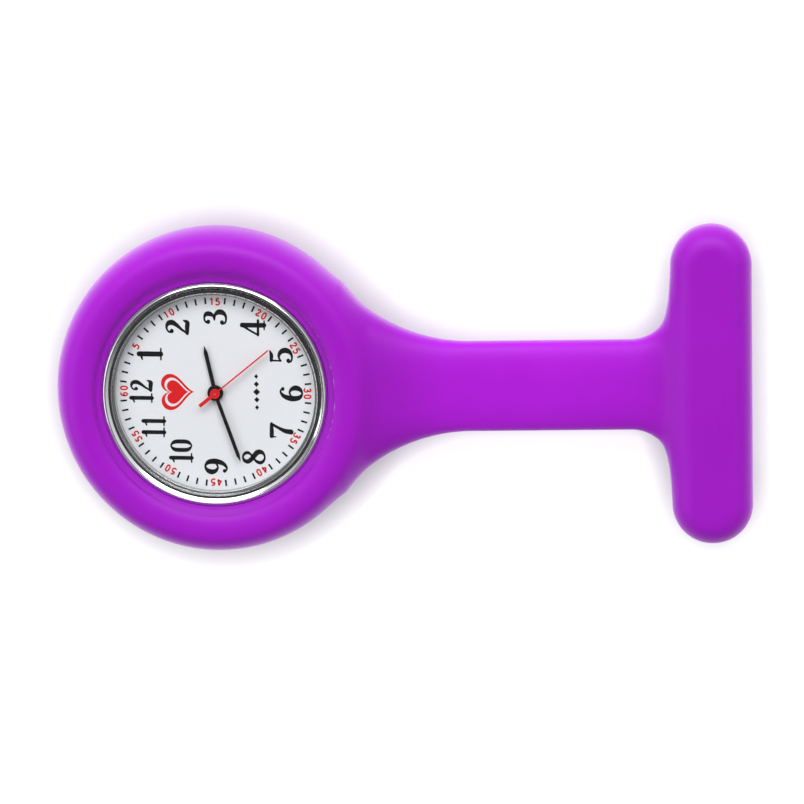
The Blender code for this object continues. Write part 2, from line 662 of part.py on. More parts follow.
def make_plate():
    body = plate([movement_outline()], PLATE_BOTTOM, PLATE_TOP)
    low, high = PLATE_BOTTOM - 0.5, PLATE_TOP + 0.5
    top_recess = disc(5.6, PLATE_FLOOR, high, 24)
    setting_recess = block((-3.0, 3.0, PLATE_FLOOR), (3.0, 8.0, high))
    battery_bay = disc(BATTERY_R + 0.1, low, high, 24, BATTERY_AT)
    contact_bay = block((1.3, -5.7, low), (3.4, -3.9, PLATE_TOP - 0.2))
    wells = [disc(2.2, low, PLATE_WEB, 16), disc(2.2, low, PLATE_WEB - 0.03, 16, THIRD_AT)]
    wells.append(disc(1.5, low, PLATE_WEB - 0.06, 16, INTERMEDIATE_AT))
    motor_bay = plate([motor_bay_outline()], low, PLATE_WEB - 0.09)
    coil_bay = block((-7.85, -4.15, low), (-5.45, 4.15, 6.3))
    chip_bay = block((-4.6, -7.2, low), (2.9, -5.1, 6.3))
    stem_way = moved(along_y(disc(0.55, 3.9, 9.0, 16)), 0, 0, STEM_Z)
    clutch_bay = block((-1.15, 4.2, low), (1.15, 6.35, high))
    lever_slot = block((-0.4, 6.2, STEM_Z), (0.4, 8.0, high))
    bays = [top_recess, setting_recess, battery_bay, contact_bay, motor_bay, coil_bay, chip_bay]
    pivots = [disc(0.17, 5.5, 6.25, 8, at) for at in (THIRD_AT, INTERMEDIATE_AT, ROTOR_AT)]
    holes = [disc(0.4, 5.5, high, 16)]
    holes += [disc(0.43, 6.0, high, 10, foot) for foot in DIAL_FEET]
    holes += [disc(0.23, low, 5.6, 8, at) for at in BRIDGE_SCREWS]
    holes += [disc(0.23, low, 5.6, 8, CLAMP_SCREW)]
    holes += [disc(0.23, 5.5, 6.3, 8, (COIL_X, side * COIL_SCREW_Y)) for side in (-1, 1)]
    body = cut(body, *bays, stem_way, clutch_bay, lever_slot, *wells, *pivots, *holes)
    posts = [disc(0.16, 6.2, 6.9, 12, MINUTE_AT), disc(0.16, 6.2, 6.7, 12, SETTING_AT)]
    posts += [disc(0.25, 6.2, 6.95, 12, at) for at in (SETTING_PIVOT, YOKE_PIVOT)]
    finished(fuse(body, *posts), "main_plate", "grey_plastic")

    bridge = plate([circle((0, 0), 4.75, 24)], BRIDGE_BOTTOM, BRIDGE_TOP)
    holes = [disc(0.17, 3.5, 4.6, 8, at) for at in (THIRD_AT, INTERMEDIATE_AT, ROTOR_AT, (0, 0))]
    holes += [disc(0.28, 3.5, 4.6, 8, at) for at in BRIDGE_SCREWS]
    bay = disc(BATTERY_R + 0.15, 3.5, 4.6, 24, BATTERY_AT)
    finished(cut(bridge, bay, *holes), "train_bridge", "brushed_steel")


def motor_bay_outline():
    """The room for the stator: its outline, a little larger."""
    x, y = ROTOR_AT
    corners = [(-7.4, 5.45), (-7.4, -5.45), (-5.5, -5.45), (x + 0.5, y - 1.75), (x + 1.25, y - 1.0)]
    return corners + [(x + 1.25, y + 1.0), (x + 0.5, y + 1.75), (-5.5, 5.45)]


def screw(at, tip, head_bottom, head_r=0.5):
    """A slotted screw whose head faces the case back."""
    shank = disc(0.18, head_bottom, tip, 8, at)
    head = disc(head_r, head_bottom, head_bottom + 0.2, 12, at)
    slot = block((at[0] - 1, at[1] - 0.07, head_bottom - 1), (at[0] + 1, at[1] + 0.07, head_bottom + 0.09))
    return cut(fuse(head, moved(shank, 0, 0, 0.12)), slot)


def make_motor():
    wire = washer(0.62, COIL_R, -COIL_HALF_LENGTH, COIL_HALF_LENGTH, 20)
    finished(moved(along_y(wire), 0, 0, COIL_Z), "coil_winding", "copper_wire", on_watch((COIL_X, 0)))
    core = block((-0.42, -CORE_HALF_LENGTH, COIL_Z - 0.2), (0.42, CORE_HALF_LENGTH, COIL_Z + 0.2))
    holes = [disc(0.22, 4.5, 6.0, 12, (0, side * COIL_SCREW_Y)) for side in (-1, 1)]
    finished(cut(core, *holes), "coil_core", "brushed_steel", on_watch((COIL_X, 0)))
    holes = [circle((COIL_X, side * COIL_SCREW_Y), 0.22, 12) for side in (-1, 1)]
    stator = plate([stator_outline(), circle(ROTOR_AT, 0.92, 20), *holes], 5.44, 5.8)
    finished(stator, "stator", "brushed_steel")


def make_electronics():
    board = plate([[(-4.9, -7.15), (3.1, -7.15), (3.1, -4.95), (-4.9, -4.95)]], 4.08, 4.24)
    finished(cut(board, disc(0.3, 3.9, 4.5, 12, CLAMP_SCREW)), "circuit_board", "green_board")
    finished(block((1.3, -6.9, 4.27), (2.6, -5.7, 4.75)), "timing_chip", "black_plastic")
    can = [(0, 5.0), (0.6, 5.0), (0.75, 4.8), (0.75, 0.2), (0.6, 0), (0, 0)]
    can = moved(along_x(turned(can, 16)), -4.2, -6.15, 5.15)
    finished(can, "quartz_oscillator", "polished_steel")

    cell = [
        (0, BATTERY_TOP),
        (2.6, BATTERY_TOP),
        (2.75, BATTERY_TOP - 0.25),
        (BATTERY_R - 0.15, BATTERY_TOP - 0.25),
        (BATTERY_R, BATTERY_TOP - 0.4),
        (BATTERY_R, BATTERY_BOTTOM + 0.15),
        (BATTERY_R - 0.15, BATTERY_BOTTOM),
        (0, BATTERY_BOTTOM),
    ]
    finished(turned(cell, 24), "button_cell", "battery_steel", on_watch(BATTERY_AT))

    strip = plate([[(1.6, -4.9), (2.3, -5.3), (5.6, -2.3), (4.9, -1.6)]], 6.63, 6.73)
    leg = block((1.75, -5.2, 4.27), (2.05, -4.7, 6.7))
    finished(fuse(strip, leg), "negative_contact", "brass")
    clamp = [(3.5, -6.8), (5.0, -6.6), (5.6, -4.0), (6.6, 0.4), (5.6, 0.7), (4.6, -3.6), (3.4, -5.5)]
    clamp = plate([clamp, circle(CLAMP_SCREW, 0.28, 12)], 3.76, 3.9)
    finished(clamp, "battery_clamp", "brushed_steel")


def make_screws():
    for number, at in enumerate(BRIDGE_SCREWS, 1):
        finished(screw(at, 5.3, BRIDGE_BOTTOM - 0.24), f"bridge_screw_{number}", "polished_steel")
    finished(screw(CLAMP_SCREW, 5.3, 3.52), "clamp_screw", "polished_steel")
    for number, side in enumerate((-1, 1), 1):
        at = (COIL_X, side * COIL_SCREW_Y)
        finished(screw(at, 6.05, 4.74, 0.42), f"coil_screw_{number}", "polished_steel")


def make_keyless_work():
    """The crown, its stem and seal, and the clutch with the two levers that pulling the crown moves."""
    axis = (WATCH_X, 0, STEM_Z)
    knob = plate([gear_outline(20, 2 * CROWN_R / 21.7, 0)], CROWN_INNER_Y, CROWN_OUTER_Y)
    recess = disc(1.2, CROWN_INNER_Y - 0.5, 17.1, 20)
    knob = cut(knob, recess, disc(0.41, 16.9, 17.6, 10))
    finished(along_y(knob), "crown", "polished_steel", axis)
    stem = [
        (0, 17.5),
        (STEM_R, 17.5),
        (STEM_R, 6.92),
        (0.22, 6.92),
        (0.22, 6.52),
        (STEM_R, 6.52),
        (STEM_R, 4.5),
        (0, 4.5),
    ]
    finished(along_y(turned(stem, 12)), "winding_stem", "brushed_steel", axis)
    finished(along_y(washer(0.93, 1.14, 16.72, 17.0, 16)), "crown_seal", "black_rubber", axis)
    tube = along_y(washer(0.5, 0.88, 13.3, 17.02, 16))
    finished(tube, "crown_tube", "brushed_steel", axis)
    clutch = [
        (0.42, 6.1),
        (0.95, 6.1),
        (0.95, 5.92),
        (0.66, 5.92),
        (0.66, 5.63),
        (0.95, 5.63),
        (0.95, 5.2),
        (0.42, 5.2),
    ]
    clutch = along_y(turned(clutch, 12, ring=True))
    notches = [block((-1.2, 5.1, -0.08), (1.2, 5.33, 0.08)) for _ in range(2)]
    notches[1].data.transform(Matrix.Rotation(math.pi / 2, 4, "Y"))
    finished(cut(clutch, *notches), "clutch", "brushed_steel", axis)

    x, y = SETTING_PIVOT
    arm = [(-2.5, -0.62), (0.1, -0.42)] + arc((0, 0), 0.45, -60, 110, 6) + [(-2.5, -0.25)]
    lever = plate([arm, circle((0, 0), 0.3, 12)], *LEVER_Z)
    pin = disc(0.12, STEM_Z + 0.27, sum(LEVER_Z) / 2, 10, (-x, -0.45))
    finished(fuse(lever, pin), "setting_lever", "brushed_steel", on_watch(SETTING_PIVOT))
    x, y = YOKE_PIVOT
    arm = [(2.45, 0.18), (2.45, 0.5)] + arc((0, 0), 0.55, 80, 290, 8)
    lever = plate([arm, circle((0, 0), 0.3, 12)], *LEVER_Z)
    pin = disc(0.11, STEM_Z + 0.72, sum(LEVER_Z) / 2, 10, (-x, 0.35))
    finished(fuse(lever, pin), "yoke", "brushed_steel", on_watch(YOKE_PIVOT))


clear_scene()
workshop = new_collection("workshop")
parts = new_collection("fob_watch")
materials = {name: make_material(name) for name in FINISHES}
make_holder()
make_brooch()
make_case()
make_movement_ring()
make_dial_and_hands()
make_plate()
make_train()
make_motion_work()
make_motor()
make_electronics()
make_screws()
make_keyless_work()
bpy.data.collections.remove(workshop)
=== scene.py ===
"""A fob watch: a quartz watch head in a purple silicone ring, strap and bar, with a brooch pin."""

import json
import math

import bpy
import numpy as np
from mathutils import Matrix, Vector


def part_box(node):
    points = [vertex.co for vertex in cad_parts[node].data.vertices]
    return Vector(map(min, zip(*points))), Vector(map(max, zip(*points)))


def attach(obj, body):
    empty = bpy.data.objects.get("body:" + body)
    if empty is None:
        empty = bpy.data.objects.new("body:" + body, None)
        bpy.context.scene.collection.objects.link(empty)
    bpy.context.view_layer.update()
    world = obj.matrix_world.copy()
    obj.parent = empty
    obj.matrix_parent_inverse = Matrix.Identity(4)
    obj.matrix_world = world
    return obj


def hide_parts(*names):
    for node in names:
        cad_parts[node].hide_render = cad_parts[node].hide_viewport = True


MM = 0.001
TAU = 2 * math.pi

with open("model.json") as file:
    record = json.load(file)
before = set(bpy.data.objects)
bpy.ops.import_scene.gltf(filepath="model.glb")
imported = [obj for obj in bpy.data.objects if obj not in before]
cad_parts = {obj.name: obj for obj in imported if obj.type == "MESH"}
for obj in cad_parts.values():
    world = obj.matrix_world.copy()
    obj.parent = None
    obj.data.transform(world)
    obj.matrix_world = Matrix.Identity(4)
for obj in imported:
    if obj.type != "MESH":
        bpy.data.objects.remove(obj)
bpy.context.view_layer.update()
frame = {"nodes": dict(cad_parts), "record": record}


# Places and sizes, in millimetres

def node_box(name):
    """A part's lowest and highest corners."""
    low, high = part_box(name)
    return np.array(low) / MM, np.array(high) / MM


case_low, case_high = node_box("watch_case")
dial_low, dial_high = node_box("dial")
crystal_low, crystal_high = node_box("crystal")
holder_low, holder_high = node_box("silicone_holder")
WATCH_X = float(case_low[0] + case_high[0]) / 2
CASE_R = float(case_high[0] - case_low[0]) / 2
DIAL_TOP = float(dial_high[2])
DIAL_R = float(dial_high[0] - dial_low[0]) / 2
CRYSTAL_TOP = float(crystal_high[2])
CRYSTAL_R = float(crystal_high[0] - crystal_low[0]) / 2
HOLDER_HEIGHT = float(holder_high[2] - holder_low[2])
HOLDER_X = float(holder_low[0]), float(holder_high[0])

RING_HALF_X = 20.0
RING_HALF_Y = 20.4
CREST_R = 17.3
LIP_R = 14.95
POCKET_R = 14.12
LIP_TOP = 9.3
STRAP_HALF_WIDTH = 5.65
STRAP_HALF_HEIGHT = 2.0
STRAP_Z = 5.4
FLARE_R = 21.0
FLARE_START = 15.8
FLARE_END = 31.5
BAR_AT = 61.4
BAR_HALF_WIDTH = 5.0
BAR_HALF_LENGTH = 20.0
BAR_EDGE_R = 2.9
BAR_BOTTOM = 2.4
BAR_TOP = 9.2
FILLET_R = 5.0
RING_BLEND = 1.1
BAR_BLEND = 1.6
WINDOW_HALF_LENGTH = 14.0
WINDOW_HALF_WIDTH = 2.0
WINDOW_TOP = 3.4
BEZEL_R = 14.06
BEZEL_TOP = 9.7
SHOULDER_Z = 8.9
SEAT_R = 12.4

HOURS_R = 9.4
NEARER_HOURS = {10: 8.7, 11: 8.95, 12: 9.25}
HOURS_TALL = 2.9
PAIR_TALL = 2.72
MINUTES_R = 11.42
MINUTES_TALL = 0.88
MINUTES_HALF_STROKE = 0.11
TICKS_R = 11.54
TICK_LONG = 0.8
TICK_WIDE = 0.23
DIAL_TURN = math.radians(-1.4)
LOZENGES = ((-2, 0.5, 0.62), (-1, 0.66, 0.72), (0, 0.88, 0.88), (1, 0.66, 0.72), (2, 0.5, 0.62))
LOZENGES_X = 5.1
LOZENGE_STEP = 0.98
HEART_AT = (-4.7, 0.1)
INK = 0.012
INK_DEPTH = 0.01


# Mesh making

def mesh_piece(name, points, faces, smooth=True):
    """A piece from points in millimetres round the watch's own axis."""
    points = np.asarray(points, float) + (WATCH_X, 0, 0)
    mesh = bpy.data.meshes.new(name)
    mesh.from_pydata((points * MM).tolist(), [], faces)
    mesh.update()
    mesh.polygons.foreach_set("use_smooth", np.full(len(mesh.polygons), smooth))
    if smooth:
        mesh.set_sharp_from_angle(angle=math.radians(50))
    piece = bpy.data.objects.new(name, mesh)
    bpy.context.scene.collection.objects.link(piece)
    return piece


def quads(rows, columns, wrap_rows=False, wrap_columns=False):
    """The faces of a grid of points whose index is row * columns + column."""
    r = np.arange(rows if wrap_rows else rows - 1)
    c = np.arange(columns if wrap_columns else columns - 1)
    r, c = np.meshgrid(r, c, indexing="ij")
    r2, c2 = (r + 1) % rows, (c + 1) % columns
    corners = (r * columns + c, r * columns + c2, r2 * columns + c2, r2 * columns + c)
    return np.stack(corners, axis=-1).reshape(-1, 4)


def rounded_profile(corners, radii, steps=5):
    """A line of (r, z) corners, each made a quadratic arc that starts and ends its radius away."""
    out = [corners[0]]
    for before, corner, after, radius in zip(corners, corners[1:], corners[2:], radii[1:]):
        before, corner, after = (np.array(p, float) for p in (before, corner, after))
        if radius == 0:
            out.append(tuple(corner))
            continue
        start = corner + (before - corner) * min(radius / np.linalg.norm(before - corner), 0.5)
        end = corner + (after - corner) * min(radius / np.linalg.norm(after - corner), 0.5)
        t = np.linspace(0, 1, steps)[:, None]
        out += [tuple(p) for p in (1 - t) ** 2 * start + 2 * t * (1 - t) * corner + t**2 * end]
    return out + [corners[-1]]


def supported(profile, margin=0.04):
    """Adds a point near each end of every long segment, so that a flat face shades flat up to its edges."""
    start, end = profile[:-1], profile[1:]
    length = np.linalg.norm(end - start, axis=1)
    long = length > 10 * margin
    along = (end - start) / np.maximum(length, 1e-9)[:, None] * margin
    extra = np.stack([start + along, end - along], axis=1)
    rows = [np.vstack([p[None], two]) if is_long else p[None] for p, two, is_long in zip(start, extra, long)]
    return np.vstack(rows + [profile[-1:]])


def revolved(name, profile, segments=160, closed=False):
    """The profile's (r, z) points carried round the watch's axis: x = r cos t, y = r sin t.

    A profile that encloses its volume the wrong way round is reversed, so that faces point
    outwards. An open one starts and ends on the axis, where each end becomes one pole.
    """
    profile = np.array(profile, float)
    apart = np.linalg.norm(np.diff(profile, axis=0), axis=1) > 1e-4
    profile = profile[np.concatenate([[True], apart])]
    following = np.roll(profile, -1, axis=0)
    if ((profile[:, 0] + following[:, 0]) ** 2 * (following[:, 1] - profile[:, 1])).sum() < 0:
        profile = profile[::-1]
    if closed:
        profile = supported(np.vstack([profile, profile[:1]]))[:-1]
    else:
        profile = supported(profile)
    t = np.arange(segments) * TAU / segments
    body = profile if closed else profile[1:-1]
    r, z = body[:, :1], body[:, 1:]
    points = np.stack([r * np.cos(t), r * np.sin(t), z + 0 * t], axis=-1).reshape(-1, 3)
    faces = quads(len(body), segments, wrap_rows=closed, wrap_columns=True).tolist()
    if not closed:
        first, last = len(points), len(points) + 1
        points = np.vstack([points, [[0, 0, profile[0, 1]], [0, 0, profile[-1, 1]]]])
        ring = np.arange(segments)
        after = (ring + 1) % segments
        faces += np.stack([np.full(segments, first), after, ring], axis=-1).tolist()
        end = (len(body) - 1) * segments
        faces += np.stack([np.full(segments, last), end + ring, end + after], axis=-1).tolist()
    return mesh_piece(name, points, faces)


def outward(points, faces):
    """Turns a closed shell's four-sided faces round when its volume comes out negative."""
    corners = points[faces]
    across = np.cross(corners[:, 2] - corners[:, 0], corners[:, 3] - corners[:, 1])
    volume = (corners.mean(axis=1) * across).sum()
    return faces if volume > 0 else faces[:, ::-1]


# Silicone holder: one moulded skin

def soft_min(a, b, reach):
    """The smaller of two fields, blended by a parabola where they are within the reach of each other."""
    h = np.maximum(reach - np.abs(a - b), 0) / reach
    return np.minimum(a, b) - h * h * reach / 4


def soft_max(a, b, reach):
    return -soft_min(-a, -b, reach)


def bar_field(x, y, z):
    """The distance to a bar with full-round ends, whose long edges are rounded by one radius."""
    edge = BAR_EDGE_R
    plan = np.hypot(x - BAR_AT, np.maximum(np.abs(y) - (BAR_HALF_LENGTH - BAR_HALF_WIDTH), 0))
    plan = plan - BAR_HALF_WIDTH + edge
    half = (BAR_TOP - BAR_BOTTOM) / 2
    tall = np.abs(z - (BAR_TOP + BAR_BOTTOM) / 2) - half + edge
    outside = np.hypot(np.maximum(plan, 0), np.maximum(tall, 0))
    return outside + np.minimum(np.maximum(plan, tall), 0) - edge


def inner_drop(r):
    """How far the ring's top has fallen at a radius inside its crest: an arc of an ellipse, then a slope."""
    inner = np.maximum(CREST_R - r, 0) / (CREST_R - LIP_R)
    arc = np.minimum(inner, 0.8)
    return 1.15 * (1 - np.sqrt(1 - arc**2)) + 1.5 * (inner - arc)


def ring_field(x, y, z):
    """About the distance to the ring.

    Outside its crest the section is a superellipse, of power 2.3. Inside it the top falls towards
    the lip, and the back stays flat.
    """
    power = 2.3
    r = np.hypot(x * RING_HALF_Y / RING_HALF_X, y)
    middle = HOLDER_HEIGHT / 2
    out = np.maximum(r - CREST_R, 0) / (RING_HALF_Y - CREST_R)
    groove = 0.14 * np.clip((LIP_R + 0.45 - r) / 0.2, 0, 1)
    lifted = np.where(z > middle, z + inner_drop(r) + 0.2 * groove, z - groove)
    tall = np.abs(lifted - middle) / middle
    body = ((out**power + tall**power) ** (1 / power) - 1) * (RING_HALF_Y - CREST_R)
    return soft_max(body, LIP_R - r, 0.25)


def strap_field(x, y, z):
    """About the distance to the strap.

    Its half width follows an arc into the ring and a smaller one into the bar, and its half height
    grows towards both.
    """
    flare = np.clip(FLARE_END - x, 0, FLARE_END - FLARE_START)
    fillet_start = BAR_AT - BAR_HALF_WIDTH - FILLET_R
    fillet = np.clip(x - fillet_start, 0, FILLET_R * 0.99)
    wide = STRAP_HALF_WIDTH + FLARE_R - np.sqrt(FLARE_R**2 - flare**2)
    wide = wide + FILLET_R - np.sqrt(FILLET_R**2 - fillet**2)
    near_ring = np.clip((FLARE_END + 1 - x) / (FLARE_END - 12.0), 0, 1)
    near_bar = np.clip((x - 50.0) / 8.0, 0, 1)
    tall = STRAP_HALF_HEIGHT + 2.4 * near_ring**2 * (3 - 2 * near_ring) + 0.8 * near_bar**2
    power = 3.0
    q = ((np.abs(y) / wide) ** power + (np.abs(z - STRAP_Z) / tall) ** power) ** (1 / power)
    body = (q - 1) * tall
    return np.maximum(body, np.maximum(13.0 - x, x - BAR_AT))


def holder_field(x, y, z):
    """The ring, strap and bar blended into one, less the window in the bar's back."""
    whole = soft_min(ring_field(x, y, z), strap_field(x, y, z), RING_BLEND)
    whole = soft_min(whole, bar_field(x, y, z), BAR_BLEND)
    window = np.hypot(x - BAR_AT, np.maximum(np.abs(y) - WINDOW_HALF_LENGTH, 0)) - WINDOW_HALF_WIDTH
    window = np.maximum(window, z - WINDOW_TOP)
    whole = soft_max(whole, -window, 0.3)
    r = np.hypot(x, y)
    return np.maximum(whole, LIP_R - r)


def skin(field, low, high, pitch):
    """The zero surface of a field, as one four-sided face for each grid edge that crosses it.

    Each cell that the surface crosses gets one point, the middle of the crossings on its twelve
    edges. The points are then pulled onto the surface along the field's slope.
    """
    axes = [np.arange(a, b + pitch, pitch) for a, b in zip(low, high)]
    values = field(*np.meshgrid(*axes, indexing="ij"))
    shape = np.array(values.shape)
    total = np.zeros(tuple(shape - 1) + (3,))
    count = np.zeros(tuple(shape - 1))
    crossings = []
    for axis in range(3):
        here = np.take(values, range(shape[axis] - 1), axis)
        there = np.take(values, range(1, shape[axis]), axis)
        crosses = (here < 0) != (there < 0)
        at = np.argwhere(crosses)
        share = here[crosses] / (here[crosses] - there[crosses])
        place = at.astype(float)
        place[:, axis] += share
        others = [a for a in range(3) if a != axis]
        cells = []
        for step in ((-1, -1), (0, -1), (0, 0), (-1, 0)):
            cell = at.copy()
            cell[:, others[0]] += step[0]
            cell[:, others[1]] += step[1]
            cells.append(cell)
            np.add.at(total, tuple(cell.T), place)
            np.add.at(count, tuple(cell.T), 1)
        inside_first = here[crosses] < 0
        flip = inside_first if axis != 1 else ~inside_first
        crossings.append((cells, flip))
    index = np.full(count.shape, -1)
    index[count > 0] = np.arange(int((count > 0).sum()))
    points = total[count > 0] / count[count > 0][:, None] * pitch + np.array(low)
    faces = []
    for cells, flip in crossings:
        four = np.stack([index[tuple(cell.T)] for cell in cells], axis=-1)
        four[~flip] = four[~flip][:, ::-1]
        faces.append(four)
    step = pitch * 0.05
    for _ in range(4):
        value = field(*points.T)
        slope = np.stack(
            [(field(*(points + d).T) - field(*(points - d).T)) / (2 * step) for d in np.eye(3) * step],
            axis=-1,
        )
        size = np.maximum((slope**2).sum(axis=1), 0.05)
        move = -value[:, None] * slope / size[:, None]
        reach = np.maximum(np.linalg.norm(move, axis=1) / (pitch * 0.4), 1)
        points = points + move / reach[:, None]
    return points, outward(points, np.concatenate(faces))


# Printed marks

SERIF = {
    "0": [
        [(0.31, 0.97, 0.03), (0.14, 0.84, 0.075), (0.09, 0.5, 0.09), (0.14, 0.16, 0.075),
         (0.31, 0.03, 0.03), (0.48, 0.16, 0.075), (0.53, 0.5, 0.09), (0.48, 0.84, 0.075),
         (0.31, 0.97, 0.03)],
    ],
    "1": [
        [(0.32, 0.97, 0.085), (0.32, 0.5, 0.085), (0.32, 0.03, 0.085)],
        [(0.32, 0.95, 0.05), (0.22, 0.87, 0.04), (0.1, 0.83, 0.028)],
        [(0.1, 0.03, 0.03), (0.54, 0.03, 0.03)],
    ],
    "2": [
        [(0.13, 0.72, 0.05), (0.12, 0.85, 0.035), (0.29, 0.965, 0.04), (0.47, 0.88, 0.08),
         (0.5, 0.73, 0.088), (0.41, 0.55, 0.07), (0.24, 0.34, 0.045), (0.08, 0.1, 0.035)],
        [(0.07, 0.075, 0.06), (0.3, 0.08, 0.08), (0.5, 0.08, 0.078), (0.59, 0.24, 0.02)],
        [(0.15, 0.74, 0.07), (0.16, 0.74, 0.07)],
    ],
    "3": [
        [(0.1, 0.8, 0.04), (0.16, 0.92, 0.036), (0.3, 0.965, 0.036), (0.45, 0.88, 0.075),
         (0.46, 0.73, 0.08), (0.38, 0.58, 0.05), (0.22, 0.53, 0.028)],
        [(0.22, 0.53, 0.028), (0.42, 0.5, 0.05), (0.53, 0.37, 0.085), (0.53, 0.22, 0.088),
         (0.42, 0.07, 0.055), (0.26, 0.03, 0.036), (0.11, 0.08, 0.036), (0.07, 0.2, 0.04)],
        [(0.14, 0.79, 0.068), (0.15, 0.79, 0.068)],
        [(0.12, 0.21, 0.068), (0.13, 0.21, 0.068)],
    ],
    "4": [
        [(0.43, 0.97, 0.08), (0.43, 0.5, 0.08), (0.43, 0.03, 0.08)],
        [(0.4, 0.95, 0.04), (0.2, 0.6, 0.035), (0.04, 0.29, 0.035)],
        [(0.04, 0.29, 0.045), (0.62, 0.29, 0.045)],
        [(0.26, 0.025, 0.026), (0.6, 0.025, 0.026)],
    ],
    "5": [
        [(0.13, 0.93, 0.035), (0.12, 0.72, 0.03), (0.11, 0.5, 0.028)],
        [(0.11, 0.5, 0.028), (0.24, 0.59, 0.04), (0.42, 0.55, 0.07), (0.53, 0.38, 0.09),
         (0.51, 0.2, 0.085), (0.38, 0.06, 0.05), (0.23, 0.03, 0.036), (0.1, 0.08, 0.036),
         (0.07, 0.18, 0.04)],
        [(0.13, 0.92, 0.055), (0.34, 0.91, 0.065), (0.5, 0.97, 0.03)],
        [(0.12, 0.19, 0.068), (0.13, 0.19, 0.068)],
    ],
    "6": [
        [(0.52, 0.87, 0.035), (0.4, 0.96, 0.034), (0.24, 0.87, 0.06), (0.13, 0.64, 0.085),
         (0.1, 0.36, 0.09), (0.16, 0.13, 0.07), (0.31, 0.03, 0.036), (0.46, 0.12, 0.07),
         (0.53, 0.3, 0.088), (0.48, 0.48, 0.065), (0.35, 0.57, 0.036), (0.21, 0.51, 0.034),
         (0.13, 0.36, 0.04)],
        [(0.48, 0.86, 0.062), (0.49, 0.86, 0.062)],
    ],
    "7": [
        [(0.08, 0.91, 0.075), (0.3, 0.91, 0.075), (0.57, 0.92, 0.055)],
        [(0.57, 0.92, 0.045), (0.42, 0.63, 0.05), (0.29, 0.34, 0.075), (0.25, 0.08, 0.088)],
        [(0.05, 0.96, 0.022), (0.05, 0.74, 0.022)],
    ],
    "8": [
        [(0.31, 0.965, 0.034), (0.16, 0.89, 0.06), (0.13, 0.75, 0.075), (0.22, 0.61, 0.08),
         (0.38, 0.47, 0.088), (0.51, 0.33, 0.088), (0.51, 0.16, 0.07), (0.4, 0.05, 0.04),
         (0.31, 0.03, 0.034), (0.18, 0.07, 0.045), (0.09, 0.2, 0.06), (0.13, 0.37, 0.05),
         (0.26, 0.5, 0.038), (0.41, 0.62, 0.038), (0.49, 0.76, 0.055), (0.44, 0.9, 0.05),
         (0.31, 0.965, 0.034)],
    ],
}
SERIF["9"] = [[(0.62 - x, 1 - y, w) for x, y, w in stroke] for stroke in SERIF["6"]]
PLAIN_STROKES = {"0": 1, "1": 2, "2": 2, "3": 2, "4": 3, "5": 3, "6": 1, "8": 1, "9": 1}
DIGIT_WIDE = 0.62


def smooth_line(stroke, steps=7):
    """Points along a cubic through the stroke's points, whose slope at each is that of its neighbours."""
    stroke = np.array(stroke, float)
    if len(stroke) < 3:
        return stroke
    length = np.concatenate([[0], np.cumsum(np.linalg.norm(np.diff(stroke[:, :2], axis=0), axis=1))])
    slope = np.gradient(stroke, length, axis=0)
    if np.allclose(stroke[0, :2], stroke[-1, :2]):
        slope[0] = slope[-1] = (stroke[1] - stroke[-2]) / (length[1] + length[-1] - length[-2])
    t = np.linspace(0, 1, steps, endpoint=False)[None, :, None]
    gap = np.diff(length)[:, None, None]
    a, b = stroke[:-1, None], stroke[1:, None]
    sa, sb = slope[:-1, None] * gap, slope[1:, None] * gap
    line = a * (2 * t**3 - 3 * t**2 + 1) + sa * (t**3 - 2 * t**2 + t)
    line = line + b * (3 * t**2 - 2 * t**3) + sb * (t**3 - t**2)
    return np.vstack([line.reshape(-1, stroke.shape[1]), stroke[-1]])


def brush(line, round_ends=True):
    """A flat ribbon along (x, y, half width) points: each rib is the line's normal times the half
    width, and a rounded end adds ribs whose half width follows a circle."""
    if round_ends:
        turn = np.radians([80, 60, 40, 20])
        first = line[1, :2] - line[0, :2]
        last = line[-1, :2] - line[-2, :2]
        first, last = first / np.linalg.norm(first), last / np.linalg.norm(last)
        head = np.c_[line[0, :2] - first * line[0, 2] * np.sin(turn)[:, None], line[0, 2] * np.cos(turn)]
        tail = np.c_[line[-1, :2] + last * line[-1, 2] * np.sin(turn)[:, None], line[-1, 2] * np.cos(turn)]
        line = np.vstack([head, line, tail[::-1]])
    along = np.gradient(line[:, :2], axis=0)
    along /= np.linalg.norm(along, axis=1)[:, None]
    normal = np.stack([-along[:, 1], along[:, 0]], axis=-1) * line[:, 2:3]
    points = np.stack([line[:, :2] + normal, line[:, :2] - normal], axis=1).reshape(-1, 2)
    return points, quads(len(line), 2)


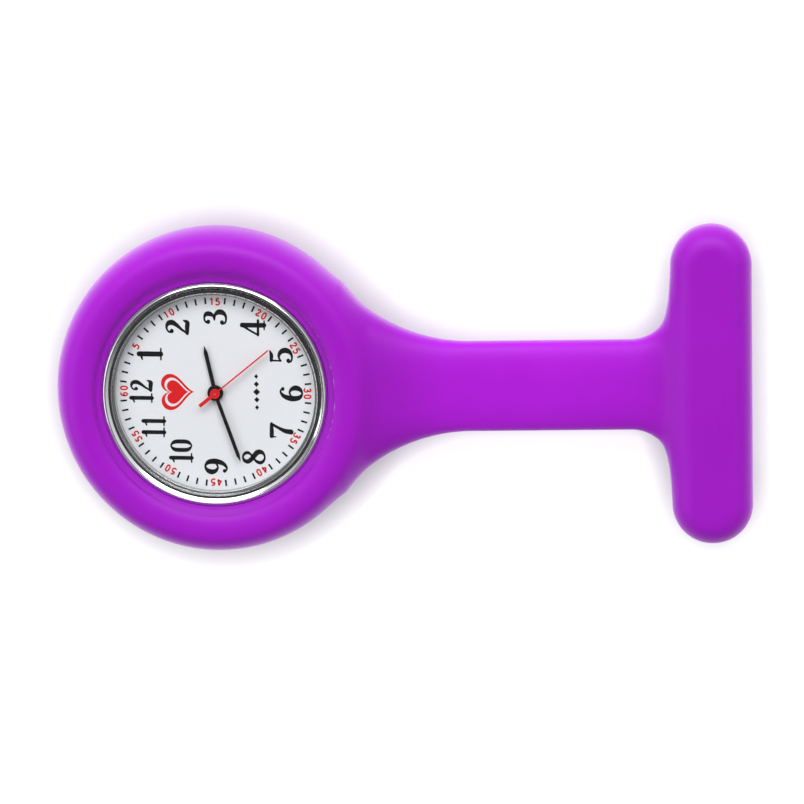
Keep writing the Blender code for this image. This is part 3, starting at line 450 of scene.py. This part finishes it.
class Ink:
    """Flat marks gathered into one printed piece on the dial."""

    def __init__(self):
        self.points, self.faces, self.count = [], [], 0

    def add(self, points, faces):
        """Adds a flat patch, turned so that it faces up."""
        a, b, c = (points[faces[:, i]] for i in (0, 1, 2))
        area = (b[:, 0] - a[:, 0]) * (c[:, 1] - a[:, 1]) - (b[:, 1] - a[:, 1]) * (c[:, 0] - a[:, 0])
        faces = faces if area.sum() > 0 else faces[:, ::-1]
        self.points.append(points)
        self.faces += (faces + self.count).tolist()
        self.count += len(points)

    def digits(self, text, middle, tall, turn, half_wide=None, wide_by=1.0, bolder=1.0):
        """A number centred at a point, with its top turned to the given direction.

        With a half width it is drawn in plain strokes of that one width.
        """
        gap = 0.08 if half_wide is None else 0.28
        wides = [DIGIT_WIDE - (0.12 if d == "1" else 0) for d in text]
        x = -(sum(wides) + gap * (len(text) - 1)) / 2
        for digit, wide in zip(text, wides):
            strokes = SERIF[digit]
            if half_wide is not None:
                strokes = strokes[: PLAIN_STROKES[digit]]
            for stroke in strokes:
                line = smooth_line(stroke)
                line[:, 2] = line[:, 2] * bolder if half_wide is None else half_wide
                points, faces = brush(line, round_ends=half_wide is None)
                points = (points + (x - (0.06 if digit == "1" else 0), -0.5)) * (tall * wide_by, tall)
                c, s = np.cos(turn - TAU / 4), np.sin(turn - TAU / 4)
                self.add(points @ np.array([[c, s], [-s, c]]) + middle, faces)
            x += wide + gap

    def piece(self, name, height):
        points = np.vstack(self.points)
        points = np.c_[points, np.full(len(points), DIAL_TOP + height)]
        printed = mesh_piece(name, points, self.faces, smooth=False)
        body = printed.modifiers.new("ink", "SOLIDIFY")
        body.thickness, body.offset = INK_DEPTH * MM, -1.0
        return printed


def dial_place(radius, hour):
    """The point at an hour's angle: twelve is near -X and three near +Y."""
    a = hour / 12 * TAU - DIAL_TURN
    return np.array([-math.cos(a), math.sin(a)]) * radius


def make_print():
    hours, minutes, ticks, ornament = Ink(), Ink(), Ink(), Ink()
    for hour in range(1, 13):
        pair = hour > 9
        middle = dial_place(NEARER_HOURS.get(hour, HOURS_R), hour)
        tall, wide_by = (PAIR_TALL, 0.9) if pair else (HOURS_TALL, 1.08)
        hours.digits(str(hour), middle, tall, TAU / 2 + DIAL_TURN, wide_by=wide_by, bolder=1.2)
        minute_at = dial_place(MINUTES_R, hour)
        outward_angle = math.atan2(minute_at[1], minute_at[0])
        minutes.digits(str(hour * 5), minute_at, MINUTES_TALL, outward_angle, MINUTES_HALF_STROKE)
    box = np.array([(-1, -1), (1, -1), (1, 1), (-1, 1)]) / 2
    for minute in range(60):
        if minute % 5 == 0:
            continue
        middle = dial_place(TICKS_R, minute / 5)
        radial = middle / np.linalg.norm(middle)
        across = np.array([-radial[1], radial[0]])
        corners = middle + box[:, :1] * radial * TICK_LONG + box[:, 1:] * across * TICK_WIDE
        ticks.add(corners, np.array([[0, 1, 2, 3]]))
    lozenge = np.array([(-0.5, 0), (0, -0.5), (0.5, 0), (0, 0.5)])
    for spot, tall, wide in LOZENGES:
        ornament.add(lozenge * (tall, wide) + (LOZENGES_X, spot * LOZENGE_STEP), np.array([[0, 1, 2, 3]]))
    return (
        (hours.piece("hour_numerals", INK), "black_paint"),
        (minutes.piece("minute_numerals", INK), "red_paint"),
        (ticks.piece("minute_ticks", INK), "black_paint"),
        (ornament.piece("dial_ornament", INK), "black_paint"),
    )


def heart(scale, t):
    """A heart whose tip points at six: x and y are sums of cosines and a cubed sine of t."""
    x = 13 * np.cos(t) - 5 * np.cos(2 * t) - 2 * np.cos(3 * t) - np.cos(4 * t)
    y = 16 * np.sin(t) ** 3
    return np.stack([-(x + 2.5), y], axis=-1) * scale / 16


def make_heart():
    """A band between two hearts and a filled smaller heart inside it."""
    t = np.linspace(0, TAU, 96, endpoint=False) + 0.001
    mark = Ink()
    centre = np.array(HEART_AT)
    for outer, inner in ((2.3, 1.82), (1.5, 0.02)):
        points = np.stack([heart(outer, t), heart(inner, t)], axis=1).reshape(-1, 2) + centre
        mark.add(points, quads(96, 2, wrap_rows=True))
    return mark.piece("heart_mark", INK)


# Case, crystal and back

def make_head():
    """The turned pieces of the watch head: case, crystal, gasket, dial wall, dial and back."""
    inner_r = CRYSTAL_R + 0.27
    case = rounded_profile(
        [(14.16, 2.35), (CASE_R, 2.35), (CASE_R, 8.7), (BEZEL_R, SHOULDER_Z), (BEZEL_R, BEZEL_TOP - 0.24),
         (BEZEL_R - 0.34, BEZEL_TOP), (BEZEL_R - 0.42, BEZEL_TOP), (BEZEL_R - 0.5, BEZEL_TOP - 0.1),
         (inner_r, BEZEL_TOP - 0.36), (inner_r, 8.72), (SEAT_R, 8.72), (SEAT_R, 8.5), (13.2, 8.5),
         (13.2, 3.15), (14.16, 3.15)],
        [0, 0.25, 0.25, 0.02, 0.12, 0.08, 0.06, 0.05, 0.06, 0.02, 0.05, 0.05, 0.02, 0, 0],
    )
    dome_r = np.linspace(CRYSTAL_R - 0.1, 0, 12)
    dome = np.c_[dome_r, CRYSTAL_TOP - 0.1 * (dome_r / CRYSTAL_R) ** 2]
    edge = rounded_profile(
        [(0, 8.76), (CRYSTAL_R - 0.02, 8.76), (CRYSTAL_R - 0.02, CRYSTAL_TOP - 0.18), tuple(dome[0])],
        [0, 0.04, 0.04, 0],
    )
    crystal = edge + [tuple(p) for p in dome[1:]]
    gasket = [(CRYSTAL_R, 8.76), (inner_r - 0.01, 8.76), (inner_r - 0.01, 9.28), (CRYSTAL_R, 9.28)]
    wall = rounded_profile(
        [(SEAT_R, 8.3), (SEAT_R + 0.02, DIAL_TOP + 0.03), (13.1, DIAL_TOP + 0.03), (13.1, 8.45),
         (SEAT_R + 0.1, 8.45)],
        [0, 0.02, 0.02, 0.02, 0],
    )
    plate = [(0.8, DIAL_TOP - 0.3), (DIAL_R, DIAL_TOP - 0.3), (DIAL_R, DIAL_TOP), (0.8, DIAL_TOP)]
    lid = rounded_profile(
        [(0, 2.3), (12.1, 2.3), (12.4, 2.85), (14.1, 2.85), (14.1, 2.36), (12.7, 2.36), (12.7, 1.66),
         (12.2, 1.6), (11.0, 1.6), (10.85, 1.72), (10.6, 1.72), (10.45, 1.62), (0, 1.62)],
        [0, 0.2, 0.1, 0.1, 0.1, 0.02, 0.25, 0.2, 0.08, 0.05, 0.05, 0.08, 0],
    )
    return (
        (revolved("steel_case", case, closed=True), "watch_case", "polished_steel"),
        (revolved("front_crystal", crystal), "crystal", "crystal"),
        (revolved("front_gasket", gasket, closed=True), "crystal_gasket", "seal_rubber"),
        (revolved("dial_wall", wall, closed=True), "dial_flange", "polished_steel", "dial_wall"),
        (revolved("dial_plate", plate, closed=True), "dial", "dial_white"),
        (revolved("back_cover", lid), "case_back", "steel"),
    )


def make_holder():
    low = (-RING_HALF_X - 0.6, -RING_HALF_Y - 0.6, -0.6)
    high = (BAR_AT + BAR_HALF_WIDTH + 0.6, RING_HALF_Y + 0.6, HOLDER_HEIGHT + 0.6)
    points, faces = skin(holder_field, low, high, 0.3)
    points[:, 2] = np.clip(points[:, 2], 0, HOLDER_HEIGHT)
    body = mesh_piece("holder_skin", points, faces.tolist())
    slope_r = np.array([14.62, 14.8, 15.0, 15.2, 15.34])
    slope = [(r, HOLDER_HEIGHT - float(inner_drop(r)) + 0.005) for r in slope_r]
    lip = rounded_profile(
        [(POCKET_R, 8.95), (POCKET_R, LIP_TOP), *slope, (LIP_R + 0.4, 9.6), (LIP_R + 0.4, 0.5),
         (LIP_R + 0.02, 0.0), (13.0, 0.0), (13.0, 2.25), (14.3, 2.25), (14.3, 2.32), (LIP_R - 0.02, 2.32),
         (LIP_R - 0.02, 8.85)],
        [0, 0.14, 0.2, 0, 0, 0, 0, 0.04, 0.1, 0.18, 0.2, 0.05, 0, 0, 0, 0],
    )
    return body, revolved("holder_lip", lip, closed=True)


# Finishes

def socket(group, name, kind, out=False, default=None):
    made = group.interface.new_socket(name, in_out="OUTPUT" if out else "INPUT", socket_type=kind)
    if default is not None:
        made.default_value = default
    return made


def new_group(name, inputs, outputs):
    group = bpy.data.node_groups.new(name, "ShaderNodeTree")
    for label, kind, default in inputs:
        socket(group, label, kind, default=default)
    for label, kind in outputs:
        socket(group, label, kind, out=True)
    return group, group.nodes.new("NodeGroupInput"), group.nodes.new("NodeGroupOutput")


def node(tree, kind, settings=(), **inputs):
    """A node with its settings, and its inputs as values or as the sockets that feed them."""
    made = tree.nodes.new(kind)
    for key, value in dict(settings).items():
        setattr(made, key, value)
    for key, value in inputs.items():
        label = int(key[1:]) if key[0] == "n" and key[1:].isdigit() else key.replace("_", " ")
        if isinstance(value, bpy.types.NodeSocket):
            tree.links.new(value, made.inputs[label])
        else:
            made.inputs[label].default_value = value
    return made


def mottle_group():
    """Soft clouds of a lighter and a darker tone, and a roughness that drifts with them."""
    inputs = [("Tone", "NodeSocketColor", (1, 1, 1, 1)), ("Cloud Scale", "NodeSocketFloat", 300.0),
              ("Amount", "NodeSocketFloat", 0.1), ("Roughness", "NodeSocketFloat", 0.4),
              ("Roughness Drift", "NodeSocketFloat", 0.1)]
    outputs = [("Color", "NodeSocketColor"), ("Roughness", "NodeSocketFloat")]
    group, given, result = new_group("mottle", inputs, outputs)
    place = node(group, "ShaderNodeTexCoord").outputs["Object"]
    cloud = node(group, "ShaderNodeTexNoise", Vector=place, Scale=given.outputs["Cloud Scale"], Detail=4.0)
    spread = node(group, "ShaderNodeMath", {"operation": "SUBTRACT"}, n0=cloud.outputs["Fac"], n1=0.5)
    shift = node(group, "ShaderNodeMath", {"operation": "MULTIPLY_ADD"}, n0=spread.outputs[0],
                 n1=given.outputs["Amount"], n2=1.0)
    tone = node(group, "ShaderNodeHueSaturation", Color=given.outputs["Tone"], Value=shift.outputs[0])
    group.links.new(tone.outputs[0], result.inputs["Color"])
    rough = node(group, "ShaderNodeMath", {"operation": "MULTIPLY_ADD", "use_clamp": True},
                 n0=spread.outputs[0], n1=given.outputs["Roughness Drift"], n2=given.outputs["Roughness"])
    group.links.new(rough.outputs[0], result.inputs["Roughness"])
    return group


def grain_group():
    """A fine surface height: grain, with a coarser ripple under it."""
    inputs = [("Grain Scale", "NodeSocketFloat", 4000.0), ("Ripple Scale", "NodeSocketFloat", 250.0),
              ("Ripple", "NodeSocketFloat", 0.3)]
    group, given, result = new_group("grain", inputs, [("Height", "NodeSocketFloat")])
    place = node(group, "ShaderNodeTexCoord").outputs["Object"]
    fine = node(group, "ShaderNodeTexNoise", Vector=place, Scale=given.outputs["Grain Scale"], Detail=2.0)
    wide = node(group, "ShaderNodeTexNoise", Vector=place, Scale=given.outputs["Ripple Scale"], Detail=1.0)
    height = node(group, "ShaderNodeMath", {"operation": "MULTIPLY_ADD"}, n0=wide.outputs["Fac"],
                  n1=given.outputs["Ripple"], n2=fine.outputs["Fac"])
    group.links.new(height.outputs[0], result.inputs["Height"])
    return group


def lint_group():
    """Scattered specks: the cores of a few cells of a scatter, chosen by each cell's own colour."""
    inputs = [("Speck Scale", "NodeSocketFloat", 260.0), ("Speck Size", "NodeSocketFloat", 0.1),
              ("Share", "NodeSocketFloat", 0.1)]
    group, given, result = new_group("lint", inputs, [("Mask", "NodeSocketFloat")])
    place = node(group, "ShaderNodeTexCoord").outputs["Object"]
    bent = node(group, "ShaderNodeTexNoise", Vector=place, Scale=700.0)
    moved = node(group, "ShaderNodeVectorMath", {"operation": "MULTIPLY_ADD"}, n0=bent.outputs["Color"],
                 n1=(0.0006, 0.0006, 0.0006), n2=place)
    cells = node(group, "ShaderNodeTexVoronoi", Vector=moved.outputs[0], Scale=given.outputs["Speck Scale"])
    core = node(group, "ShaderNodeMath", {"operation": "LESS_THAN"}, n0=cells.outputs["Distance"],
                n1=given.outputs["Speck Size"])
    pick = node(group, "ShaderNodeSeparateColor", Color=cells.outputs["Color"])
    chosen = node(group, "ShaderNodeMath", {"operation": "LESS_THAN"}, n0=pick.outputs[0],
                  n1=given.outputs["Share"])
    both = node(group, "ShaderNodeMath", {"operation": "MULTIPLY"}, n0=core.outputs[0], n1=chosen.outputs[0])
    group.links.new(both.outputs[0], result.inputs["Mask"])
    return group


def turning_group():
    """Lathe marks: rings round the watch's own axis, broken up by noise."""
    inputs = [("Rings", "NodeSocketFloat", 9000.0)]
    group, given, result = new_group("turning_marks", inputs, [("Height", "NodeSocketFloat")])
    place = node(group, "ShaderNodeTexCoord").outputs["Object"]
    from_axis = node(group, "ShaderNodeMapping", Vector=place, Location=(-WATCH_X * MM, 0, 0))
    flat = node(group, "ShaderNodeVectorMath", {"operation": "MULTIPLY"}, n0=from_axis.outputs[0],
                n1=(1, 1, 0))
    radius = node(group, "ShaderNodeVectorMath", {"operation": "LENGTH"}, n0=flat.outputs[0])
    scaled = node(group, "ShaderNodeMath", {"operation": "MULTIPLY"}, n0=radius.outputs["Value"],
                  n1=given.outputs["Rings"])
    marks = node(group, "ShaderNodeTexNoise", {"noise_dimensions": "1D"}, W=scaled.outputs[0], Scale=1.0,
                 Detail=3.0)
    group.links.new(marks.outputs["Fac"], result.inputs["Height"])
    return group


GROUPS = {"mottle": mottle_group(), "grain": grain_group(), "lint": lint_group(), "turning": turning_group()}


def use(tree, name, **inputs):
    return node(tree, "ShaderNodeGroup", {"node_tree": GROUPS[name]}, **inputs).outputs


def graded(tree, colour, axis, low, high, levels):
    """The colour times a level that changes from place to place along one axis, used to paint light and
    shade into it.
    """
    place = node(tree, "ShaderNodeTexCoord").outputs["Object"]
    along = node(tree, "ShaderNodeSeparateXYZ", Vector=place).outputs[axis]
    share = node(tree, "ShaderNodeMapRange", Value=along, From_Min=low * MM, From_Max=high * MM)
    ramp = node(tree, "ShaderNodeValToRGB", Fac=share.outputs[0])
    stops = ramp.color_ramp.elements
    for stop, (at, level) in zip(stops, (levels[0], levels[-1])):
        stop.position, stop.color = at, (level, level, level, 1)
    for at, level in levels[1:-1]:
        stops.new(at).color = (level, level, level, 1)
    return node(tree, "ShaderNodeMix", {"data_type": "RGBA", "blend_type": "MULTIPLY"}, n0=1.0, n6=colour,
                n7=ramp.outputs[0]).outputs[2]


def finish_for(name, tone, rough, metal=0.0, clouds=300.0, amount=0.12, drift=0.12, grain=4000.0,
               bump=0.02, turned=0.0, lint=None, grade=None, **extra):
    """A shaded finish: mottled tone, fine grain, optional lathe rings, optional lint and an optional grade
    that paints light and shade into the colour.
    """
    finish = bpy.data.materials.new(name)
    finish.use_nodes = True
    tree = finish.node_tree
    tree.nodes.clear()
    mottle = use(tree, "mottle", Tone=(*tone, 1), Cloud_Scale=clouds, Amount=amount, Roughness=rough,
                 Roughness_Drift=drift)
    colour = mottle["Color"]
    if lint:
        speck_tone, speck_scale, speck_size, share = lint
        specks = use(tree, "lint", Speck_Scale=speck_scale, Speck_Size=speck_size, Share=share)
        mixed = node(tree, "ShaderNodeMix", {"data_type": "RGBA"}, n0=specks["Mask"], n6=colour,
                     n7=(*speck_tone, 1))
        colour = mixed.outputs[2]
    height = use(tree, "grain", Grain_Scale=grain)["Height"]
    if turned:
        height = use(tree, "turning", Rings=turned)["Height"]
    normal = node(tree, "ShaderNodeBump", Height=height, Strength=1.0, Distance=bump * MM).outputs[0]
    if grade:
        colour = graded(tree, colour, *grade)
    surface = node(tree, "ShaderNodeBsdfPrincipled", Base_Color=colour, Roughness=mottle["Roughness"],
                   Metallic=metal, Normal=normal)
    for key, value in extra.items():
        surface.inputs[key.replace("_", " ")].default_value = value
    out = node(tree, "ShaderNodeOutputMaterial")
    tree.links.new(surface.outputs[0], out.inputs[0])
    return finish


# Painted light and shade: the thin strap's colour is painted lighter, as light passing through it, and
# painted darker in the creases where it meets the ring and the bar; the lip beside the bezel is painted a
# little darker towards its top, as shade
STRAP_PAINTED_LIGHT = ("X", *HOLDER_X, ((0.0, 0.96), (0.42, 0.96), (0.47, 0.88), (0.56, 1.12), (0.7, 1.16),
                               (0.83, 1.08), (0.88, 0.92), (1.0, 0.96)))
LIP_SHADE = ("Z", 0.0, HOLDER_HEIGHT, ((0.0, 0.98), (0.6, 0.98), (0.8, 0.95), (1.0, 0.95)))
SOFT_SKIN = {"clouds": 90.0, "amount": 0.1, "drift": 0.15, "grain": 2500.0, "bump": 0.006,
             "lint": ((0.44, 0.05, 0.66), 420.0, 0.06, 0.09), "Subsurface_Weight": 0.3,
             "Subsurface_Scale": 0.003, "Subsurface_Radius": (1.0, 0.1, 1.0), "Specular_IOR_Level": 0.2,
             "Sheen_Weight": 1.0, "Sheen_Roughness": 0.35, "Sheen_Tint": (0.9, 0.55, 1.0, 1)}
PURPLE = (0.365, 0.006, 0.565)
FINISHES = {
    # The main silicone finish carries the strap's painted light and the painted crease shade in its colour
    "silicone": finish_for("purple silicone", PURPLE, 0.46, grade=STRAP_PAINTED_LIGHT, **SOFT_SKIN),
    # The lip's finish is a copy of the silicone with shade painted into its colour, darker towards the top
    "silicone_lip": finish_for("purple silicone, lip, painted shade", PURPLE, 0.5, grade=LIP_SHADE, **SOFT_SKIN),
    "polished_steel": finish_for("polished steel", (0.78, 0.79, 0.8), 0.1, 1.0, amount=0.05, drift=0.06,
                                 bump=0.0006),
    "dial_wall": finish_for("painted steel wall", (0.42, 0.43, 0.43), 0.6, amount=0.05, bump=0.001,
                            Specular_IOR_Level=0.1),
    "steel": finish_for("turned steel", (0.6, 0.61, 0.62), 0.3, 1.0, amount=0.08, turned=9000.0, bump=0.004),
    "crystal": None,
    "seal_rubber": finish_for("black rubber", (0.012, 0.012, 0.013), 0.55, amount=0.3, bump=0.01),
    "dial_white": finish_for("dial enamel", (0.78, 0.79, 0.825), 0.38, clouds=160.0, amount=0.03,
                             grain=9000.0, bump=0.001, lint=((0.6, 0.61, 0.63), 420.0, 0.05, 0.015)),
    "grey_plastic": finish_for("grey moulded plastic", (0.42, 0.43, 0.46), 0.45, grain=3000.0, bump=0.01),
    "black_paint": finish_for("black ink", (0.003, 0.003, 0.0035), 0.4, amount=0.4, grain=6000.0, bump=0.002,
                              Specular_IOR_Level=0.1),
    "red_paint": finish_for("red ink", (0.68, 0.002, 0.006), 0.4, amount=0.12, grain=6000.0, bump=0.002,
                            Specular_IOR_Level=0.25),
    "brass": finish_for("brass", (0.78, 0.55, 0.22), 0.28, 1.0, amount=0.15, bump=0.003),
    "white_plastic": finish_for("white moulded plastic", (0.74, 0.74, 0.7), 0.45, grain=3000.0, bump=0.01),
    "board": finish_for("green circuit board", (0.02, 0.17, 0.07), 0.4, amount=0.25, clouds=900.0,
                        bump=0.006),
    "chip_plastic": finish_for("chip resin", (0.015, 0.015, 0.017), 0.4, amount=0.3, bump=0.008),
    "copper_wire": finish_for("copper wire", (0.72, 0.28, 0.12), 0.25, 1.0, amount=0.15, bump=0.02,
                              grain=6000.0),
    "cell_steel": finish_for("cell steel", (0.62, 0.62, 0.6), 0.25, 1.0, amount=0.08, turned=6000.0,
                             bump=0.002),
}


def glass_finish():
    """Clear crystal: full transmission, with faint smears in its roughness."""
    finish = bpy.data.materials.new("clear crystal")
    finish.use_nodes = True
    tree = finish.node_tree
    tree.nodes.clear()
    mottle = use(tree, "mottle", Tone=(0.985, 0.995, 0.99, 1), Cloud_Scale=200.0, Amount=0.01,
                 Roughness=0.015, Roughness_Drift=0.03)
    surface = node(tree, "ShaderNodeBsdfPrincipled", Base_Color=mottle["Color"],
                   Roughness=mottle["Roughness"], IOR=1.45, Transmission_Weight=1.0)
    see_through = node(tree, "ShaderNodeBsdfTransparent")
    light = node(tree, "ShaderNodeLightPath")
    unseen = node(tree, "ShaderNodeMath", {"operation": "MAXIMUM"}, n0=light.outputs["Is Shadow Ray"],
                  n1=light.outputs["Is Diffuse Ray"])
    shadow = node(tree, "ShaderNodeMixShader", n0=unseen.outputs[0], n1=surface.outputs[0],
                  n2=see_through.outputs[0])
    out = node(tree, "ShaderNodeOutputMaterial")
    tree.links.new(shadow.outputs[0], out.inputs[0])
    return finish


FINISHES["crystal"] = glass_finish()


# Putting it together

def place(piece, body, slot_name, *nodes, finish=None):
    piece.data.materials.clear()
    piece.data.materials.append(FINISHES[finish or slot_name])
    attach(piece, body)
    if nodes:
        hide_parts(*nodes)


skin_piece, lip_piece = make_holder()
place(skin_piece, "holder", "silicone", "silicone_holder")
place(lip_piece, "holder", "silicone", finish="silicone_lip")
for piece, stands_for, slot_name, *finish in make_head():
    place(piece, "holder", slot_name, stands_for, finish=finish[0] if finish else None)
for piece, slot_name in make_print():
    place(piece, "holder", slot_name)
place(make_heart(), "holder", "red_paint")

slots = {part["node"]: part["material_slot"] for part in frame["record"]["subparts"]}
for name, part in frame["nodes"].items():
    part.data.materials.clear()
    part.data.materials.append(FINISHES[slots[name]])


# Floor, light and camera

FLOOR_SHADE_REACH = 5.0
FLOOR_GAP = 0.1

def make_floor():
    """A wide sheet of paper just under the watch, clear when it is seen from below.

    Its glow falls where something nearly touches it, as a contact shadow.
    """
    side = np.linspace(-1500.0, 1500.0, 31)
    x, y = np.meshgrid(side, side, indexing="ij")
    points = np.stack([x, y, np.full(x.shape, -FLOOR_GAP)], axis=-1).reshape(-1, 3)
    floor = mesh_piece("floor", points, quads(31, 31)[:, ::-1].tolist(), smooth=False)
    paper = finish_for("pale floor", (0.46, 0.46, 0.46), 0.7, amount=0.01, drift=0.05, bump=0.01,
                       Emission_Strength=0.8)
    tree = paper.node_tree
    near = node(tree, "ShaderNodeAmbientOcclusion", {"samples": 16}, Distance=FLOOR_SHADE_REACH * MM)
    steep = node(tree, "ShaderNodeMath", {"operation": "POWER"}, n0=near.outputs["AO"], n1=2.3)
    glow = node(tree, "ShaderNodeMapRange", Value=steep.outputs[0], To_Min=0.2)
    tree.links.new(glow.outputs[0], tree.nodes["Principled BSDF"].inputs["Emission Color"])
    out = tree.nodes["Material Output"]
    top_side = out.inputs[0].links[0].from_socket
    below = node(tree, "ShaderNodeNewGeometry").outputs["Backfacing"]
    clear = node(tree, "ShaderNodeBsdfTransparent").outputs[0]
    two_sided = node(tree, "ShaderNodeMixShader", n0=below, n1=top_side, n2=clear)
    tree.links.new(two_sided.outputs[0], out.inputs[0])
    floor.data.materials.append(paper)


def area_light(name, place_mm, toward_mm, size_mm, watts, colour=(1, 1, 1)):
    data = bpy.data.lights.new(name, "AREA")
    data.shape, data.size, data.size_y = "RECTANGLE", size_mm[0] * MM, size_mm[1] * MM
    data.energy, data.color = watts, colour
    lamp = bpy.data.objects.new(name, data)
    bpy.context.scene.collection.objects.link(lamp)
    lamp.location = Vector(place_mm) * MM
    back = (Vector(place_mm) - Vector(toward_mm)).normalized()
    lamp.rotation_mode = "QUATERNION"
    lamp.rotation_quaternion = back.to_track_quat("Z", "Y")


def make_room():
    """A grey room with a bright band from 35 to 62 degrees above the horizon, dimmer on its -Y side."""
    world = bpy.data.worlds.new("studio")
    bpy.context.scene.world = world
    world.use_nodes = True
    tree = world.node_tree
    tree.nodes.clear()
    direction = node(tree, "ShaderNodeTexCoord").outputs["Generated"]
    height = node(tree, "ShaderNodeSeparateXYZ", Vector=direction).outputs["Z"]
    ramp = node(tree, "ShaderNodeValToRGB", Fac=height)
    stops = ramp.color_ramp.elements
    stops[0].position, stops[0].color = 0.05, (0.75, 0.75, 0.76, 1)
    stops[1].position, stops[1].color = 1.0, (0.3, 0.3, 0.31, 1)
    for at, level in ((0.22, 0.3), (0.48, 0.3), (0.58, 1.2), (0.88, 1.2), (0.95, 0.3)):
        stops.new(at).color = (level, level, level * 1.02, 1)
    sideways = node(tree, "ShaderNodeSeparateXYZ", Vector=direction).outputs["Y"]
    strength = node(tree, "ShaderNodeMapRange", Value=sideways, From_Min=-1.0, From_Max=1.0, To_Min=0.25,
                    To_Max=0.95)
    background = node(tree, "ShaderNodeBackground", Color=ramp.outputs[0], Strength=strength.outputs[0])
    out = node(tree, "ShaderNodeOutputWorld")
    tree.links.new(background.outputs[0], out.inputs[0])


def make_camera():
    """Aims down at the watch from twelve degrees off the dial's normal, from far off."""
    azimuth, off_normal, roll = (math.radians(a) for a in (71.37, 12.065, -1.335))
    away, lens, target = 508.0, 182.8, np.array([22.945, -2.017, 5.0])
    back = Vector((math.sin(off_normal) * math.cos(azimuth), math.sin(off_normal) * math.sin(azimuth),
                   math.cos(off_normal)))
    right = Vector((0, 1, 0)).cross(back).normalized()
    up = back.cross(right)
    right, up = (math.cos(roll) * right + math.sin(roll) * up, math.cos(roll) * up - math.sin(roll) * right)
    data = bpy.data.cameras.new("camera")
    data.lens, data.sensor_width = lens, 36.0
    data.clip_start, data.clip_end = 0.01, 10.0
    camera = bpy.data.objects.new("camera", data)
    bpy.context.scene.collection.objects.link(camera)
    camera.location = (Vector(target) + Vector((WATCH_X, 0, 0)) + back * away) * MM
    camera.rotation_mode = "QUATERNION"
    turn = np.array([right, up, back]).T
    camera.rotation_quaternion = Matrix(turn.tolist()).to_quaternion()
    bpy.context.scene.camera = camera


make_floor()
make_room()
area_light("top softbox", (0, 420, 420), (0, 0, 0), (700, 300), 3.0)
area_light("left softbox", (-450, -60, 380), (-20, 0, 0), (300, 300), 0.6)
make_camera()
bpy.context.scene.view_settings.view_transform = "Standard"
